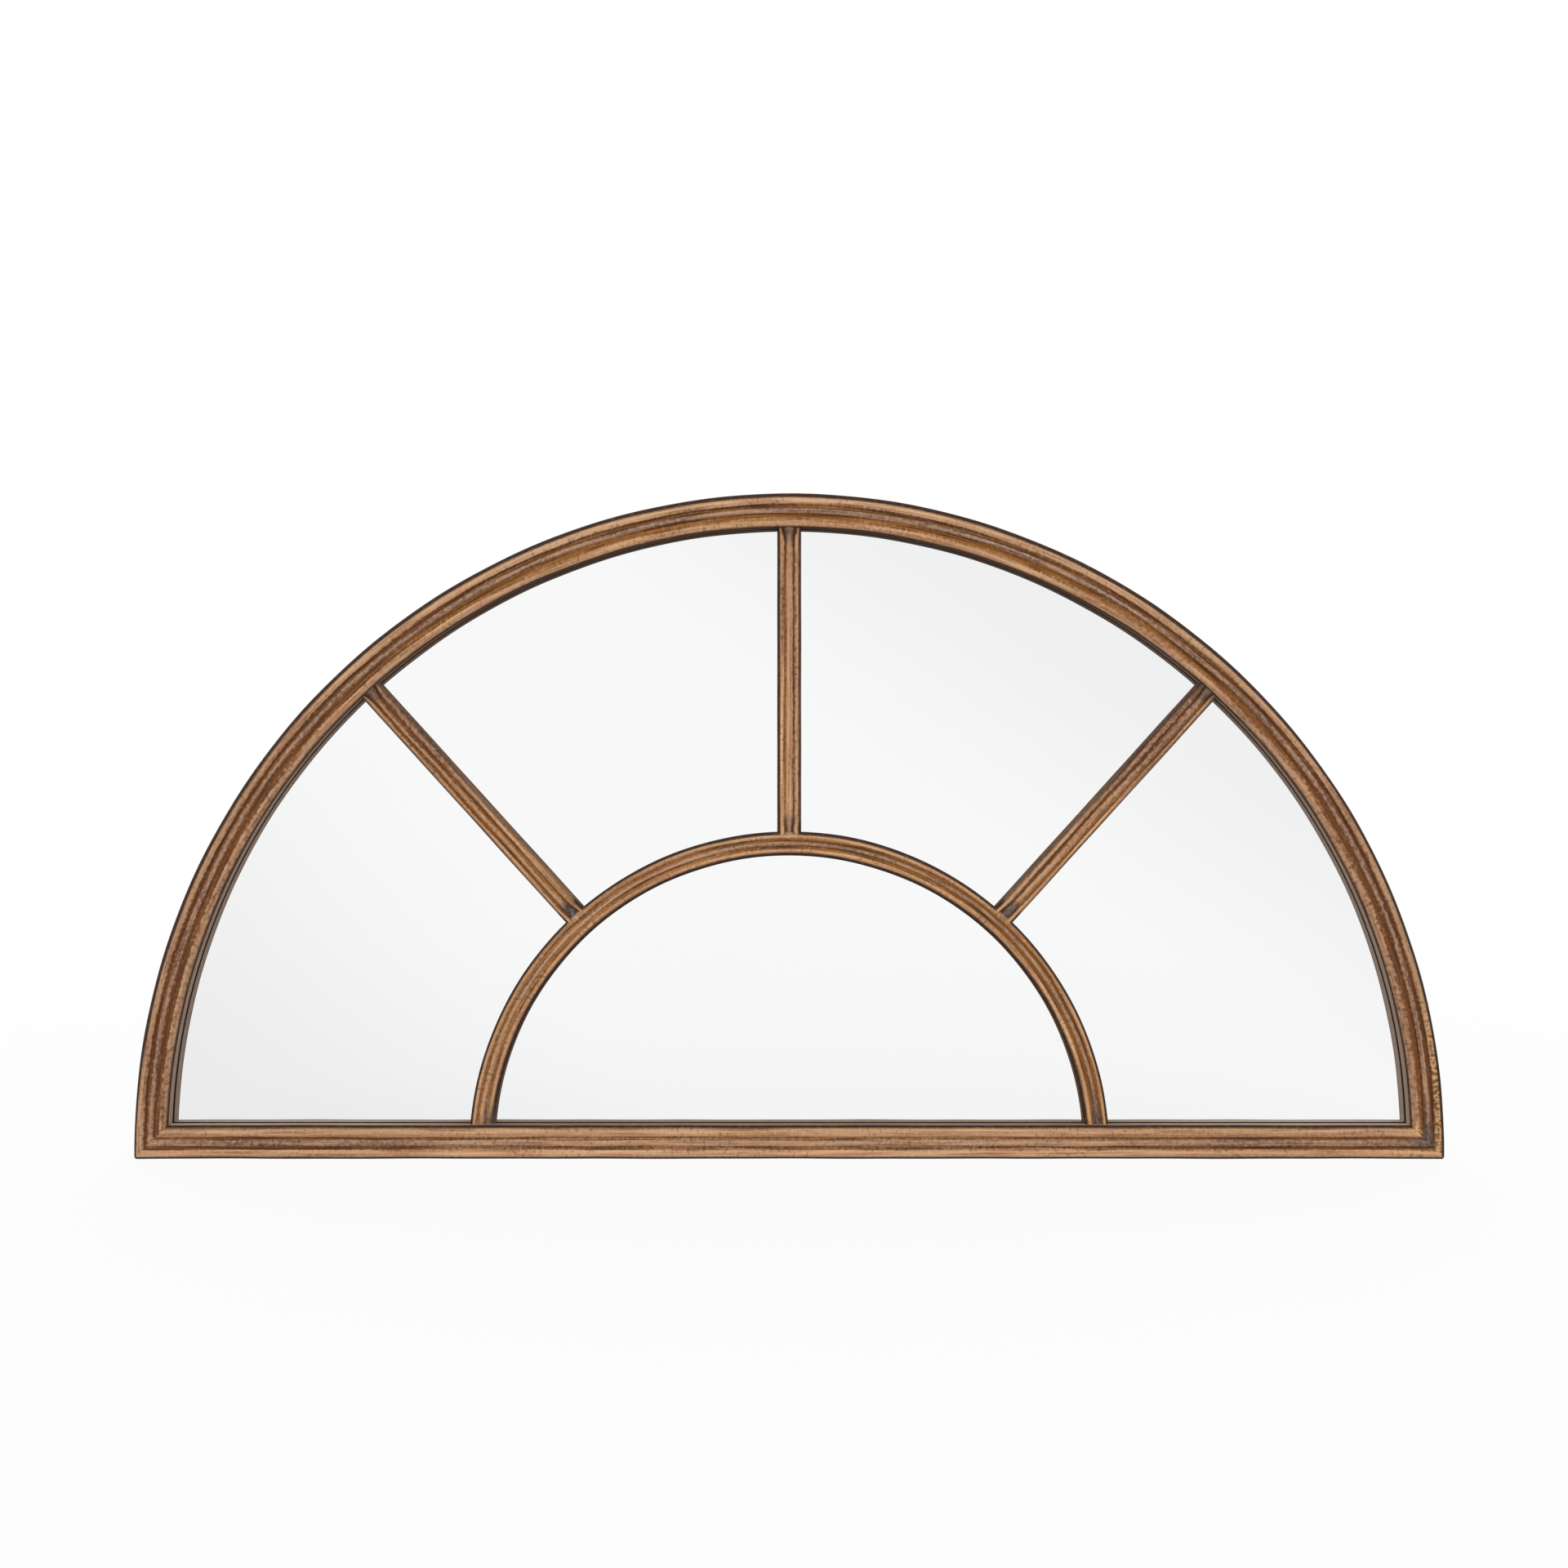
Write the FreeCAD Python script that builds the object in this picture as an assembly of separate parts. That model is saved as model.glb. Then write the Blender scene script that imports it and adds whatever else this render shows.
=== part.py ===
import FreeCAD, Part
import math
import os

V = FreeCAD.Vector

# Arched frame and sill: one reeded sheet channel, the arch bent to a half circle.
ARCH_RADIUS = 600.0
ARCH_RISE = 10.0
FACE_WIDTH = 30.0
BEAD_WIDTH = 10.0
BEAD_HEIGHT = 3.2
REED_HEIGHT = 2.0
FRAME_GAUGE = 1.2
SEAT_WIDTH = 10.0

# Depths from the crest of the frame's beads to its rear rim.
SIGHT_DEPTH = 20.0
TAPE_THICK = 1.0
GLASS_THICK = 4.0
CARD_THICK = 2.0
BOARD_THICK = 3.0
REAR_SPACE = 6.0

# Glazing bars: an inner arch and three spokes that point at its centre.
INNER_RADIUS = 283.5
HUB_RISE = 5.0
SPOKE_ANGLE = 42.2
BAR_WIDTH = 22.0
BAR_BEAD_WIDTH = 7.2
BAR_BEAD_HEIGHT = 2.2
BAR_REED_HEIGHT = 1.5
BAR_GAUGE = 1.2
BAR_SETBACK = 9.5
BAR_TO_GLASS = 0.6

# Glass, card and board lie together behind the frame's seat.
PACK_OVERLAP = 9.5
PACK_CLEAR = 1.0
TAPE_WIDTH = 8.5
TAPE_INSET = 0.5
BLOCK_LENGTH = 50.0
BLOCK_PLACE = 380.0

# Turn buttons on welded lugs hold the board in.
BUTTON_ANGLES = (22.5, 67.5, 112.5, 157.5)
SILL_BUTTON_PLACE = 240.0
PIVOT_INSET = 10.5
LUG_LENGTH = 22.0
LUG_GAUGE = 2.0
LUG_LEG = 9.0
BUTTON_WIDTH = 12.0
BUTTON_REACH = 16.0
BUTTON_GAUGE = 1.5
BUTTON_LIFT = 0.3
SCREW_RADIUS = 2.0
SCREW_TAIL = 2.0
THREAD_CLEAR = 0.02
TURN_CLEAR = 0.05
WASHER_RADIUS = 4.6
WASHER_GAUGE = 0.5
WASHER_PLAY = 0.1
WASHER_CLEAR = 0.1
HEAD_RADIUS = 4.0
HEAD_HEIGHT = 1.9
HEAD_ROUND = 0.7
RECESS_LENGTH = 4.4
RECESS_WIDTH = 0.9
RECESS_DEPTH = 1.1

# Keyhole plates for the wall screws, and plates inside the two mitred corners.
HANGER_ANGLE = 45.0
HANGER_INSET = 13.5
HANGER_LENGTH = 52.0
HANGER_GAUGE = 2.0
ENTRY_RADIUS = 4.5
SLOT_RADIUS = 2.3
SLOT_RISE = 8.0
GUSSET_LEG = 70.0
GUSSET_GAUGE = 2.0

OVERRUN = 5.0

# The origin lies on the wall, midway between the two keyholes.
ARCH_Z = -(ARCH_RADIUS - HANGER_INSET) * math.sin(math.radians(HANGER_ANGLE))
HANGER_X = (ARCH_RADIUS - HANGER_INSET) * math.cos(math.radians(HANGER_ANGLE))
SILL_Z = ARCH_Z - ARCH_RISE
HUB_Z = SILL_Z + HUB_RISE
BOARD_BACK = -REAR_SPACE
BOARD_FRONT = BOARD_BACK - BOARD_THICK
CARD_FRONT = BOARD_FRONT - CARD_THICK
GLASS_FRONT = CARD_FRONT - GLASS_THICK
SEAT_BACK = GLASS_FRONT - TAPE_THICK
FRAME_CREST = GLASS_FRONT - SIGHT_DEPTH
BAR_CREST = FRAME_CREST + BAR_SETBACK
BAR_BACK = GLASS_FRONT - BAR_TO_GLASS
PACK_EDGE = FACE_WIDTH - PACK_OVERLAP
METAL_EDGE = PACK_EDGE - PACK_CLEAR
BUTTON_FRONT = BOARD_BACK + BUTTON_LIFT
BUTTON_BACK = BUTTON_FRONT + BUTTON_GAUGE

UP = V(0, 0, 1)
BACKWARD = V(0, 1, 0)
ARCH_CENTRE = V(0, 0, ARCH_Z)
HUB = V(0, 0, HUB_Z)
MIDDLE = V(0, 0, 0)


def outline(points):
    """Flat face with straight sides through the points."""
    return Part.Face(Part.makePolygon(points + points[:1]))


def reeds(start, base, widths, heights):
    """Side by side arcs that rise in front of the base line."""
    edges = []
    across = start
    for width, height in zip(widths, heights):
        foot = V(across, base, 0)
        crest = V(across + width / 2, base - height, 0)
        across = across + width
        edges.append(Part.Arc(foot, crest, V(across, base, 0)).toShape())
    return edges


def sheet(edges, gauge):
    """Section of bent sheet whose show side follows the edges."""
    return Part.Wire(edges).makeOffset2D(-gauge, 0, True, True)


def frame_section():
    """Outer wall, reeded face, sight wall and glass seat, with the width along X."""
    base = FRAME_CREST + BEAD_HEIGHT
    reed_width = FACE_WIDTH - BEAD_WIDTH * 2
    widths = (BEAD_WIDTH, reed_width, BEAD_WIDTH)
    face = reeds(0, base, widths, (BEAD_HEIGHT, REED_HEIGHT, BEAD_HEIGHT))
    rim = V(0, 0, 0)
    bend = V(FACE_WIDTH, SEAT_BACK, 0)
    tip = V(FACE_WIDTH - SEAT_WIDTH, SEAT_BACK, 0)
    wall = Part.makeLine(rim, V(0, base, 0))
    sight = Part.makeLine(V(FACE_WIDTH, base, 0), bend)
    seat = Part.makeLine(bend, tip)
    return sheet([wall] + face + [sight, seat], FRAME_GAUGE)


def bar_section():
    """Reeded face between two side walls, open to the glass, with the width along X."""
    base = BAR_CREST + BAR_BEAD_HEIGHT
    half = BAR_WIDTH / 2
    reed_width = BAR_WIDTH - BAR_BEAD_WIDTH * 2
    widths = (BAR_BEAD_WIDTH, reed_width, BAR_BEAD_WIDTH)
    face = reeds(-half, base, widths, (BAR_BEAD_HEIGHT, BAR_REED_HEIGHT, BAR_BEAD_HEIGHT))
    left = Part.makeLine(V(-half, BAR_BACK, 0), V(-half, base, 0))
    right = Part.makeLine(V(half, base, 0), V(half, BAR_BACK, 0))
    return sheet([left] + face + [right], BAR_GAUGE)


def bend_round(section, radius, centre, start, sweep):
    """Section carried round a centre, from an angle above the left springing."""
    face = section.copy()
    face.translate(centre - V(radius, 0, 0))
    face.rotate(centre, BACKWARD, start)
    return face.revolve(centre, BACKWARD, sweep)


def along_arch(section, angle, length):
    """Short piece of a section at an angle on the arch."""
    sweep = math.degrees(length / ARCH_RADIUS)
    return bend_round(section, ARCH_RADIUS, ARCH_CENTRE, angle - sweep / 2, sweep)


def along_sill(section, place, length):
    """Straight piece of a section on the sill, centred on a place."""
    face = section.copy()
    face.rotate(MIDDLE, BACKWARD, -90)
    face.translate(V(place - length / 2, 0, SILL_Z))
    return face.extrude(V(length, 0, 0))


def half_moon(inset, front, thick):
    """Plate set in by one distance from the outside of the arch and the sill."""
    radius = ARCH_RADIUS - inset
    floor = SILL_Z + inset
    half = math.sqrt(radius**2 - (floor - ARCH_Z) ** 2)
    left = V(-half, front, floor)
    right = V(half, front, floor)
    curve = Part.Arc(left, V(0, front, ARCH_Z + radius), right).toShape()
    edge = Part.makeLine(right, left)
    return Part.Face(Part.Wire([curve, edge])).extrude(V(0, thick, 0))


def round_post(radius, front, back, place):
    """Cylinder from front to back about a place on the face."""
    return Part.makeCylinder(radius, back - front, V(place.x, front, place.z), BACKWARD)


def sill_space():
    """Room that the sill takes between the two mitres."""
    low = SILL_Z - FACE_WIDTH
    high = SILL_Z + FACE_WIDTH + OVERRUN
    wide = ARCH_RADIUS + FACE_WIDTH
    narrow = ARCH_RADIUS - FACE_WIDTH - OVERRUN
    front = FRAME_CREST - OVERRUN
    points = [V(-wide, front, low), V(wide, front, low), V(narrow, front, high), V(-narrow, front, high)]
    return outline(points).extrude(V(0, OVERRUN - front, 0))


def arch_frame():
    """Half ring whose feet run a little past the sill before the mitres are cut."""
    foot = math.degrees(math.asin((ARCH_RISE + OVERRUN) / (ARCH_RADIUS - FACE_WIDTH)))
    ring = bend_round(frame_section(), ARCH_RADIUS, ARCH_CENTRE, -foot, foot * 2 + 180)
    return ring.cut(sill_space())


def sill_rail():
    """Straight channel cut to the two mitres."""
    rail = along_sill(frame_section(), 0, (ARCH_RADIUS + OVERRUN) * 2)
    inside = round_post(ARCH_RADIUS, FRAME_CREST - OVERRUN, OVERRUN, ARCH_CENTRE)
    return rail.common(sill_space()).common(inside)


def inner_arch():
    """Bar bent to a half circle, its feet cut level with the top of the sill."""
    ring = bend_round(bar_section(), INNER_RADIUS, HUB, 0, 180)
    reach = INNER_RADIUS + BAR_WIDTH
    below = Part.makeBox(reach * 2, SIGHT_DEPTH, FACE_WIDTH, V(-reach, FRAME_CREST, SILL_Z))
    return ring.cut(below)


def spoke(angle):
    """Straight bar from the inner arch to the frame, its ends coped to both."""
    face = bar_section()
    face.translate(HUB)
    bar = face.extrude(UP * ARCH_RADIUS)
    bar.rotate(HUB, BACKWARD, angle)
    front = FRAME_CREST - OVERRUN
    inside = round_post(ARCH_RADIUS - FACE_WIDTH, front, OVERRUN, ARCH_CENTRE)
    core = round_post(INNER_RADIUS + BAR_WIDTH / 2, front, OVERRUN, HUB)
    return bar.common(inside).cut(core)


def glazing_tape():
    """Foam strip between the seat and the glass."""
    outer = FACE_WIDTH - TAPE_INSET - TAPE_WIDTH
    ring = half_moon(outer, SEAT_BACK, TAPE_THICK)
    return ring.cut(half_moon(FACE_WIDTH - TAPE_INSET, SEAT_BACK, TAPE_THICK))


def setting_block(place):
    """Rubber block that carries the glass, card and board on the sill."""
    tall = PACK_EDGE - FRAME_GAUGE
    corner = V(place - BLOCK_LENGTH / 2, GLASS_FRONT, SILL_Z + FRAME_GAUGE)
    return Part.makeBox(BLOCK_LENGTH, BOARD_BACK - GLASS_FRONT, tall, corner)


def lug_section():
    """Angle welded to the inside of the frame's outer wall, with the width along X."""
    step = FRAME_GAUGE + LUG_GAUGE
    under = BOARD_BACK - LUG_GAUGE
    leg = BOARD_BACK - LUG_LEG
    points = [V(FRAME_GAUGE, BOARD_BACK, 0), V(FRAME_GAUGE, leg, 0), V(step, leg, 0)]
    points += [V(step, under, 0), V(METAL_EDGE, under, 0), V(METAL_EDGE, BOARD_BACK, 0)]
    return outline(points)


def arch_pivot(angle):
    """Centre of a turn button's screw at an angle on the arch."""
    place = V(PIVOT_INSET - ARCH_RADIUS, 0, 0)
    return ARCH_CENTRE + FreeCAD.Rotation(BACKWARD, angle).multVec(place)


def drilled(lug, pivot):
    """Lug with the tapped hole of its screw."""
    hole = round_post(SCREW_RADIUS + THREAD_CLEAR, BOARD_BACK - LUG_LEG, OVERRUN, pivot)
    return lug.cut(hole)


def turn_button():
    """Flat strip with round ends that reaches over the board along X."""
    half = BUTTON_WIDTH / 2
    strip = Part.makeBox(BUTTON_REACH, BUTTON_GAUGE, BUTTON_WIDTH, V(0, BUTTON_FRONT, -half))
    tail = round_post(half, BUTTON_FRONT, BUTTON_BACK, MIDDLE)
    tip = round_post(half, BUTTON_FRONT, BUTTON_BACK, V(BUTTON_REACH, 0, 0))
    hole = round_post(SCREW_RADIUS + TURN_CLEAR, BUTTON_FRONT - OVERRUN, OVERRUN, MIDDLE)
    return strip.fuse([tail, tip]).removeSplitter().cut(hole)


def washer():
    """Spring washer under the screw's head."""
    front = BUTTON_BACK + WASHER_PLAY
    back = front + WASHER_GAUGE
    ring = round_post(WASHER_RADIUS, front, back, MIDDLE)
    return ring.cut(round_post(SCREW_RADIUS + WASHER_CLEAR, front, back, MIDDLE))


def screw():
    """Round headed screw with a cross recess."""
    seat = BUTTON_BACK + WASHER_PLAY + WASHER_GAUGE
    top = seat + HEAD_HEIGHT
    head = round_post(HEAD_RADIUS, seat, top, MIDDLE)
    rim = [edge for edge in head.Edges if edge.isClosed() and edge.CenterOfMass.y > seat + HEAD_ROUND]
    head = head.makeFillet(HEAD_ROUND, rim)
    shank = round_post(SCREW_RADIUS, BOARD_BACK - LUG_GAUGE - SCREW_TAIL, seat, MIDDLE)
    whole = head.fuse(shank)
    half = RECESS_LENGTH / 2
    side = RECESS_WIDTH / 2
    level = V(-half, top - RECESS_DEPTH, -side)
    upright = V(-side, top - RECESS_DEPTH, -half)
    flat = Part.makeBox(RECESS_LENGTH, OVERRUN, RECESS_WIDTH, level)
    tall = Part.makeBox(RECESS_WIDTH, OVERRUN, RECESS_LENGTH, upright)
    return whole.cut(flat.fuse(tall))


def hanger_plate(side):
    """Plate across the channel with a keyhole, its slot above the entry hole."""
    low = -HANGER_GAUGE
    points = [V(FRAME_GAUGE, low, 0), V(METAL_EDGE, low, 0), V(METAL_EDGE, 0, 0), V(FRAME_GAUGE, 0, 0)]
    angle = 90 + (90 - HANGER_ANGLE) * side
    plate = along_arch(outline(points), angle, HANGER_LENGTH)
    entry_place = V(HANGER_X * side, 0, 0)
    slot_place = entry_place + UP * SLOT_RISE
    entry = round_post(ENTRY_RADIUS, -OVERRUN, OVERRUN, entry_place)
    end = round_post(SLOT_RADIUS, -OVERRUN, OVERRUN, slot_place)
    corner = entry_place + V(-SLOT_RADIUS, -OVERRUN, 0)
    slot = Part.makeBox(SLOT_RADIUS * 2, OVERRUN * 2, SLOT_RISE, corner)
    return plate.cut(entry).cut(slot).cut(end)


def corner_gusset(side):
    """Angled plate welded inside a mitred corner, clear of the glass."""
    front = -GUSSET_GAUGE
    plate = half_moon(FRAME_GAUGE, front, GUSSET_GAUGE)
    plate = plate.cut(half_moon(METAL_EDGE, front, GUSSET_GAUGE))
    start = min(side * ARCH_RADIUS, side * (ARCH_RADIUS - GUSSET_LEG))
    corner = Part.makeBox(GUSSET_LEG, GUSSET_GAUGE, GUSSET_LEG, V(start, front, SILL_Z))
    return plate.common(corner)


def placed(shape, angle, pivot):
    """Copy of a piece turned about its own screw and set on it."""
    piece = shape.copy()
    piece.rotate(MIDDLE, BACKWARD, angle)
    piece.translate(pivot)
    return piece


def button_places():
    """Turn and screw centre of every button, by the name of its place."""
    places = {}
    for number, angle in enumerate(BUTTON_ANGLES):
        places["arch_" + str(number + 1)] = (angle, arch_pivot(angle))
    for name, side in (("sill_left", -1), ("sill_right", 1)):
        places[name] = (-90, V(side * SILL_BUTTON_PLACE, 0, SILL_Z + PIVOT_INSET))
    return places


def button_lugs():
    """The lugs of all the turn buttons."""
    lugs = []
    for angle in BUTTON_ANGLES:
        lugs.append(drilled(along_arch(lug_section(), angle, LUG_LENGTH), arch_pivot(angle)))
    for side in (-1, 1):
        pivot = V(side * SILL_BUTTON_PLACE, 0, SILL_Z + PIVOT_INSET)
        lugs.append(drilled(along_sill(lug_section(), pivot.x, LUG_LENGTH), pivot))
    return Part.makeCompound(lugs)


def group(shape):
    """One copy of a piece at every turn button."""
    return Part.makeCompound([placed(shape, angle, pivot) for angle, pivot in button_places().values()])


nodes = {
    "arch_frame": arch_frame(),
    "sill_rail": sill_rail(),
    "inner_arch": inner_arch(),
    "spoke_left": spoke(-SPOKE_ANGLE),
    "spoke_centre": spoke(0),
    "spoke_right": spoke(SPOKE_ANGLE),
    "glazing_tape": glazing_tape(),
    "mirror_glass": half_moon(PACK_EDGE, GLASS_FRONT, GLASS_THICK),
    "card_sheet": half_moon(PACK_EDGE, CARD_FRONT, CARD_THICK),
    "back_board": half_moon(PACK_EDGE, BOARD_FRONT, BOARD_THICK),
    "setting_block_left": setting_block(-BLOCK_PLACE),
    "setting_block_right": setting_block(BLOCK_PLACE),
    "button_lugs": button_lugs(),
    "button_screws": group(screw()),
    "button_washers": group(washer()),
    "hanger_plate_left": hanger_plate(-1),
    "hanger_plate_right": hanger_plate(1),
    "corner_gusset_left": corner_gusset(-1),
    "corner_gusset_right": corner_gusset(1),
}
for place, (angle, pivot) in button_places().items():
    nodes["turn_button_" + place] = placed(turn_button(), angle, pivot)

os.makedirs("parts", exist_ok=True)
for name, shape in nodes.items():
    shape.exportStep("parts/" + name + ".step")
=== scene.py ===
import math
import bpy
import numpy as np
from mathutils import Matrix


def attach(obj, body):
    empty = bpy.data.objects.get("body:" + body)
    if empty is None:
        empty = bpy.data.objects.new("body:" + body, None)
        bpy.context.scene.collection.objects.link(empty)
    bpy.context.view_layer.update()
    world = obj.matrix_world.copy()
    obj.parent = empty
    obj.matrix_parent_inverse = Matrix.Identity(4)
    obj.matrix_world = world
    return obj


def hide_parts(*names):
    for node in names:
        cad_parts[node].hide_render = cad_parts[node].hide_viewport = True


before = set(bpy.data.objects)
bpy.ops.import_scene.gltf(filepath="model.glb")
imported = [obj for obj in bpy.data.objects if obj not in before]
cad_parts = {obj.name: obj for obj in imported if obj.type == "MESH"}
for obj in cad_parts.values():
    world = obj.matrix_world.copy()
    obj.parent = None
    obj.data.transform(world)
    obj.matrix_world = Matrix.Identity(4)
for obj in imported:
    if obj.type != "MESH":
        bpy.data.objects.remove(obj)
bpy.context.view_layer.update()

# Arched frame and sill rail.
# One roll-formed steel channel with a reeded face of bead, lower reed and bead. The arch is bent to a
# half circle and mitred into the straight sill, and both are finished in gold rubbed over brown glaze.
MM = 0.001
ARCH_RADIUS = 600.0 * MM
ARCH_RISE = 10.0 * MM
ARCH_Z = -414.718 * MM
SILL_Z = ARCH_Z - ARCH_RISE
FACE_WIDTH = 30.0 * MM
BEAD_WIDTH = 10.0 * MM
BEAD_HEIGHT = 3.2 * MM
REED_HEIGHT = 2.0 * MM
GROOVE_Y = -31.8 * MM
SEAT_Y = -16.0 * MM
SEAT_WIDTH = 10.0 * MM
SEAT_BEND = 1.7 * MM
GAUGE = 1.2 * MM
EASE = 0.42 * MM
WALK = 0.06 * MM
SHY = 0.16 * MM
CORNER_ROUND = 2.6 * MM
HAND = 0.22 * MM
HAND_DEPTH = 0.5
SETTLE = 40.0 * MM
ARCH_ROWS = 420
SILL_ROWS = 320
END_CROWD = 0.006
CROWD_STEPS = 6001
CROWD_GAIN = 6
ARC_POINTS = 60
BEND_POINTS = 16
FRAME_TURN = math.radians(10)
FRAME_STEP = 5.0 * MM
SHARP_EDGE = math.radians(48)
WAVES = ((0.043, 0.007, 0.0), (0.0265, -0.010, 1.7), (0.0137, 0.004, 4.1))


def smooth(low, high, value):
    """Smooth step of an array, from 0 at low to 1 at high; low may be the larger of the two."""
    share = np.clip((value - low) / (high - low), 0, 1)
    return share * share * (3 - 2 * share)


def bell(distance, width):
    """Bell of height 1 at no distance, which falls off with the square of the distance over the width."""
    return np.exp(-((distance / width) ** 2))


def crowded(count, places, width):
    """Shares from 0 to 1 that lie closer together near some places: the running sum of a density with a bell
    at each place, turned round so that equal steps of the sum give the shares."""
    fine = np.linspace(0, 1, CROWD_STEPS)
    bells = np.exp(-0.5 * ((fine[None, :] - np.array(places)[:, None]) / width) ** 2)
    walked = np.cumsum(1 + CROWD_GAIN * bells.max(0))
    walked = (walked - walked[0]) / (walked[-1] - walked[0])
    return np.interp(np.linspace(0, 1, count), walked, fine)


def waver(along, across):
    """Unevenness of hand work, from -1 to 1: the mean of sines whose phases drift across the piece. Each
    piece adds a length of its own to along, so that no two show the same marks."""
    return sum(np.sin(along / wave + phase + across / drift) for wave, drift, phase in WAVES) / len(WAVES)


def reed_arcs(widths, heights):
    """Circular arcs side by side, each of its own width and height: distance across, and rise above the
    grooves."""
    across = []
    rise = []
    start = 0.0
    for width, height in zip(widths, heights):
        radius = (width**2 / 4 + height**2) / (2 * height)
        reach = math.asin(width / 2 / radius)
        turn = np.linspace(-reach, reach, ARC_POINTS)
        across.append(start + width / 2 + radius * np.sin(turn))
        rise.append(radius * np.cos(turn) - radius + height)
        start = start + width
    return np.concatenate(across), np.concatenate(rise)


def eased(path):
    """Path walked in small even steps, where each point is the bell-weighted mean of those around it."""
    step = np.linalg.norm(np.diff(path, axis=0), axis=1)
    walked = np.concatenate(([0.0], np.cumsum(step)))
    even = np.arange(0.0, walked[-1], WALK)
    points = np.stack([np.interp(even, walked, path[:, k]) for k in (0, 1)], 1)
    reach = int(3 * EASE / WALK)
    weight = np.exp(-0.5 * (np.arange(-reach, reach + 1) * WALK / EASE) ** 2)
    before = 2 * points[0] - points[reach:0:-1]
    after = 2 * points[-1] - points[-2 : -reach - 2 : -1]
    padded = np.concatenate((before, points, after))
    return np.stack([np.convolve(padded[:, k], weight / weight.sum(), "valid") for k in (0, 1)], 1)


def bent_sheet(path, turn_step, longest):
    """Show side and hidden side of a bent sheet: the eased path, and the same path one gauge along its
    normal. Points are kept where the turning plus the length walked since the last one reaches a whole
    number."""
    line = eased(path)
    along = np.gradient(line, axis=0)
    along = along / np.linalg.norm(along, axis=1, keepdims=True)
    hidden = line + GAUGE * np.stack((-along[:, 1], along[:, 0]), 1)
    heading = np.unwrap(np.arctan2(along[:, 1], along[:, 0]))
    crowd = np.cumsum(np.abs(np.gradient(heading)) / turn_step + WALK / longest)
    count = int(crowd[-1])
    kept = np.interp(np.linspace(crowd[0], crowd[-1], count), crowd, np.arange(len(crowd))).astype(int)
    return line[kept], hidden[kept], kept * WALK


def frame_path():
    """Rear rim, outer wall, reeded face, sight wall and glass seat: inset from the outside against depth."""
    widths = (BEAD_WIDTH, FACE_WIDTH - 2 * BEAD_WIDTH, BEAD_WIDTH)
    across, rise = reed_arcs(widths, (BEAD_HEIGHT, REED_HEIGHT, BEAD_HEIGHT))
    turn = np.linspace(0, math.pi / 2, BEND_POINTS)
    bend_inset = FACE_WIDTH - SEAT_BEND + SEAT_BEND * np.cos(turn)
    bend = np.stack((bend_inset, SEAT_Y - SEAT_BEND + SEAT_BEND * np.sin(turn)), 1)
    rim = np.array([(0.0, 0.0)])
    tip = np.array([(FACE_WIDTH - SEAT_WIDTH, SEAT_Y)])
    return np.concatenate((rim, np.stack((across, GROOVE_Y - rise), 1), bend, tip))


def skin(name, axes, fields, along, across, finish, ring=False):
    """Closed mesh from x, y and z on a grid whose rows are loops that follow each other along the piece. The
    two halves of the first and the last loop are joined point to point as end caps, or in a ring the last
    loop is joined to the first. The faces are turned outwards by the sign of the volume."""
    grid = np.stack(np.broadcast_arrays(*axes), -1)
    rows, columns = grid.shape[:2]
    number = np.arange(rows * columns).reshape(rows, columns)
    loops = np.concatenate((number, number[:1])) if ring else number
    beside = np.roll(loops, -1, axis=1)
    sides = np.stack((loops[:-1], beside[:-1], beside[1:], loops[1:]), -1).reshape(-1, 4)
    j = np.arange(columns // 2 - 1)
    caps = []
    for loop in () if ring else (number[0], number[-1][::-1]):
        caps.append(np.stack((loop[j], loop[columns - 1 - j], loop[columns - 2 - j], loop[j + 1]), -1))
    faces = np.concatenate([sides] + caps)
    points = grid.reshape(-1, 3)
    a, b, c, d = (points[faces[:, k]] for k in range(4))
    facing = np.cross(b - a, c - a) + np.cross(c - a, d - a)
    if np.einsum("ij,ij->", facing, a) < 0:
        faces = faces[:, ::-1]
    mesh = bpy.data.meshes.new(name)
    mesh.from_pydata(points.tolist(), [], faces.tolist())
    mesh.polygons.foreach_set("use_smooth", np.ones(len(faces), bool))
    mesh.set_sharp_from_angle(angle=SHARP_EDGE)
    map_values = np.stack(np.broadcast_arrays(along, across), -1).reshape(-1, 2)[faces.ravel()]
    mesh.uv_layers.new(name="along_across").data.foreach_set("uv", map_values.astype(np.float32).ravel())
    for field, values in fields.items():
        spread = np.broadcast_to(values, (rows, columns)).astype(np.float32)
        mesh.attributes.new(field, "FLOAT", "POINT").data.foreach_set("value", spread.ravel())
    mesh.materials.append(finish)
    piece = bpy.data.objects.new(name, mesh)
    bpy.context.scene.collection.objects.link(piece)
    return piece


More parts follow.
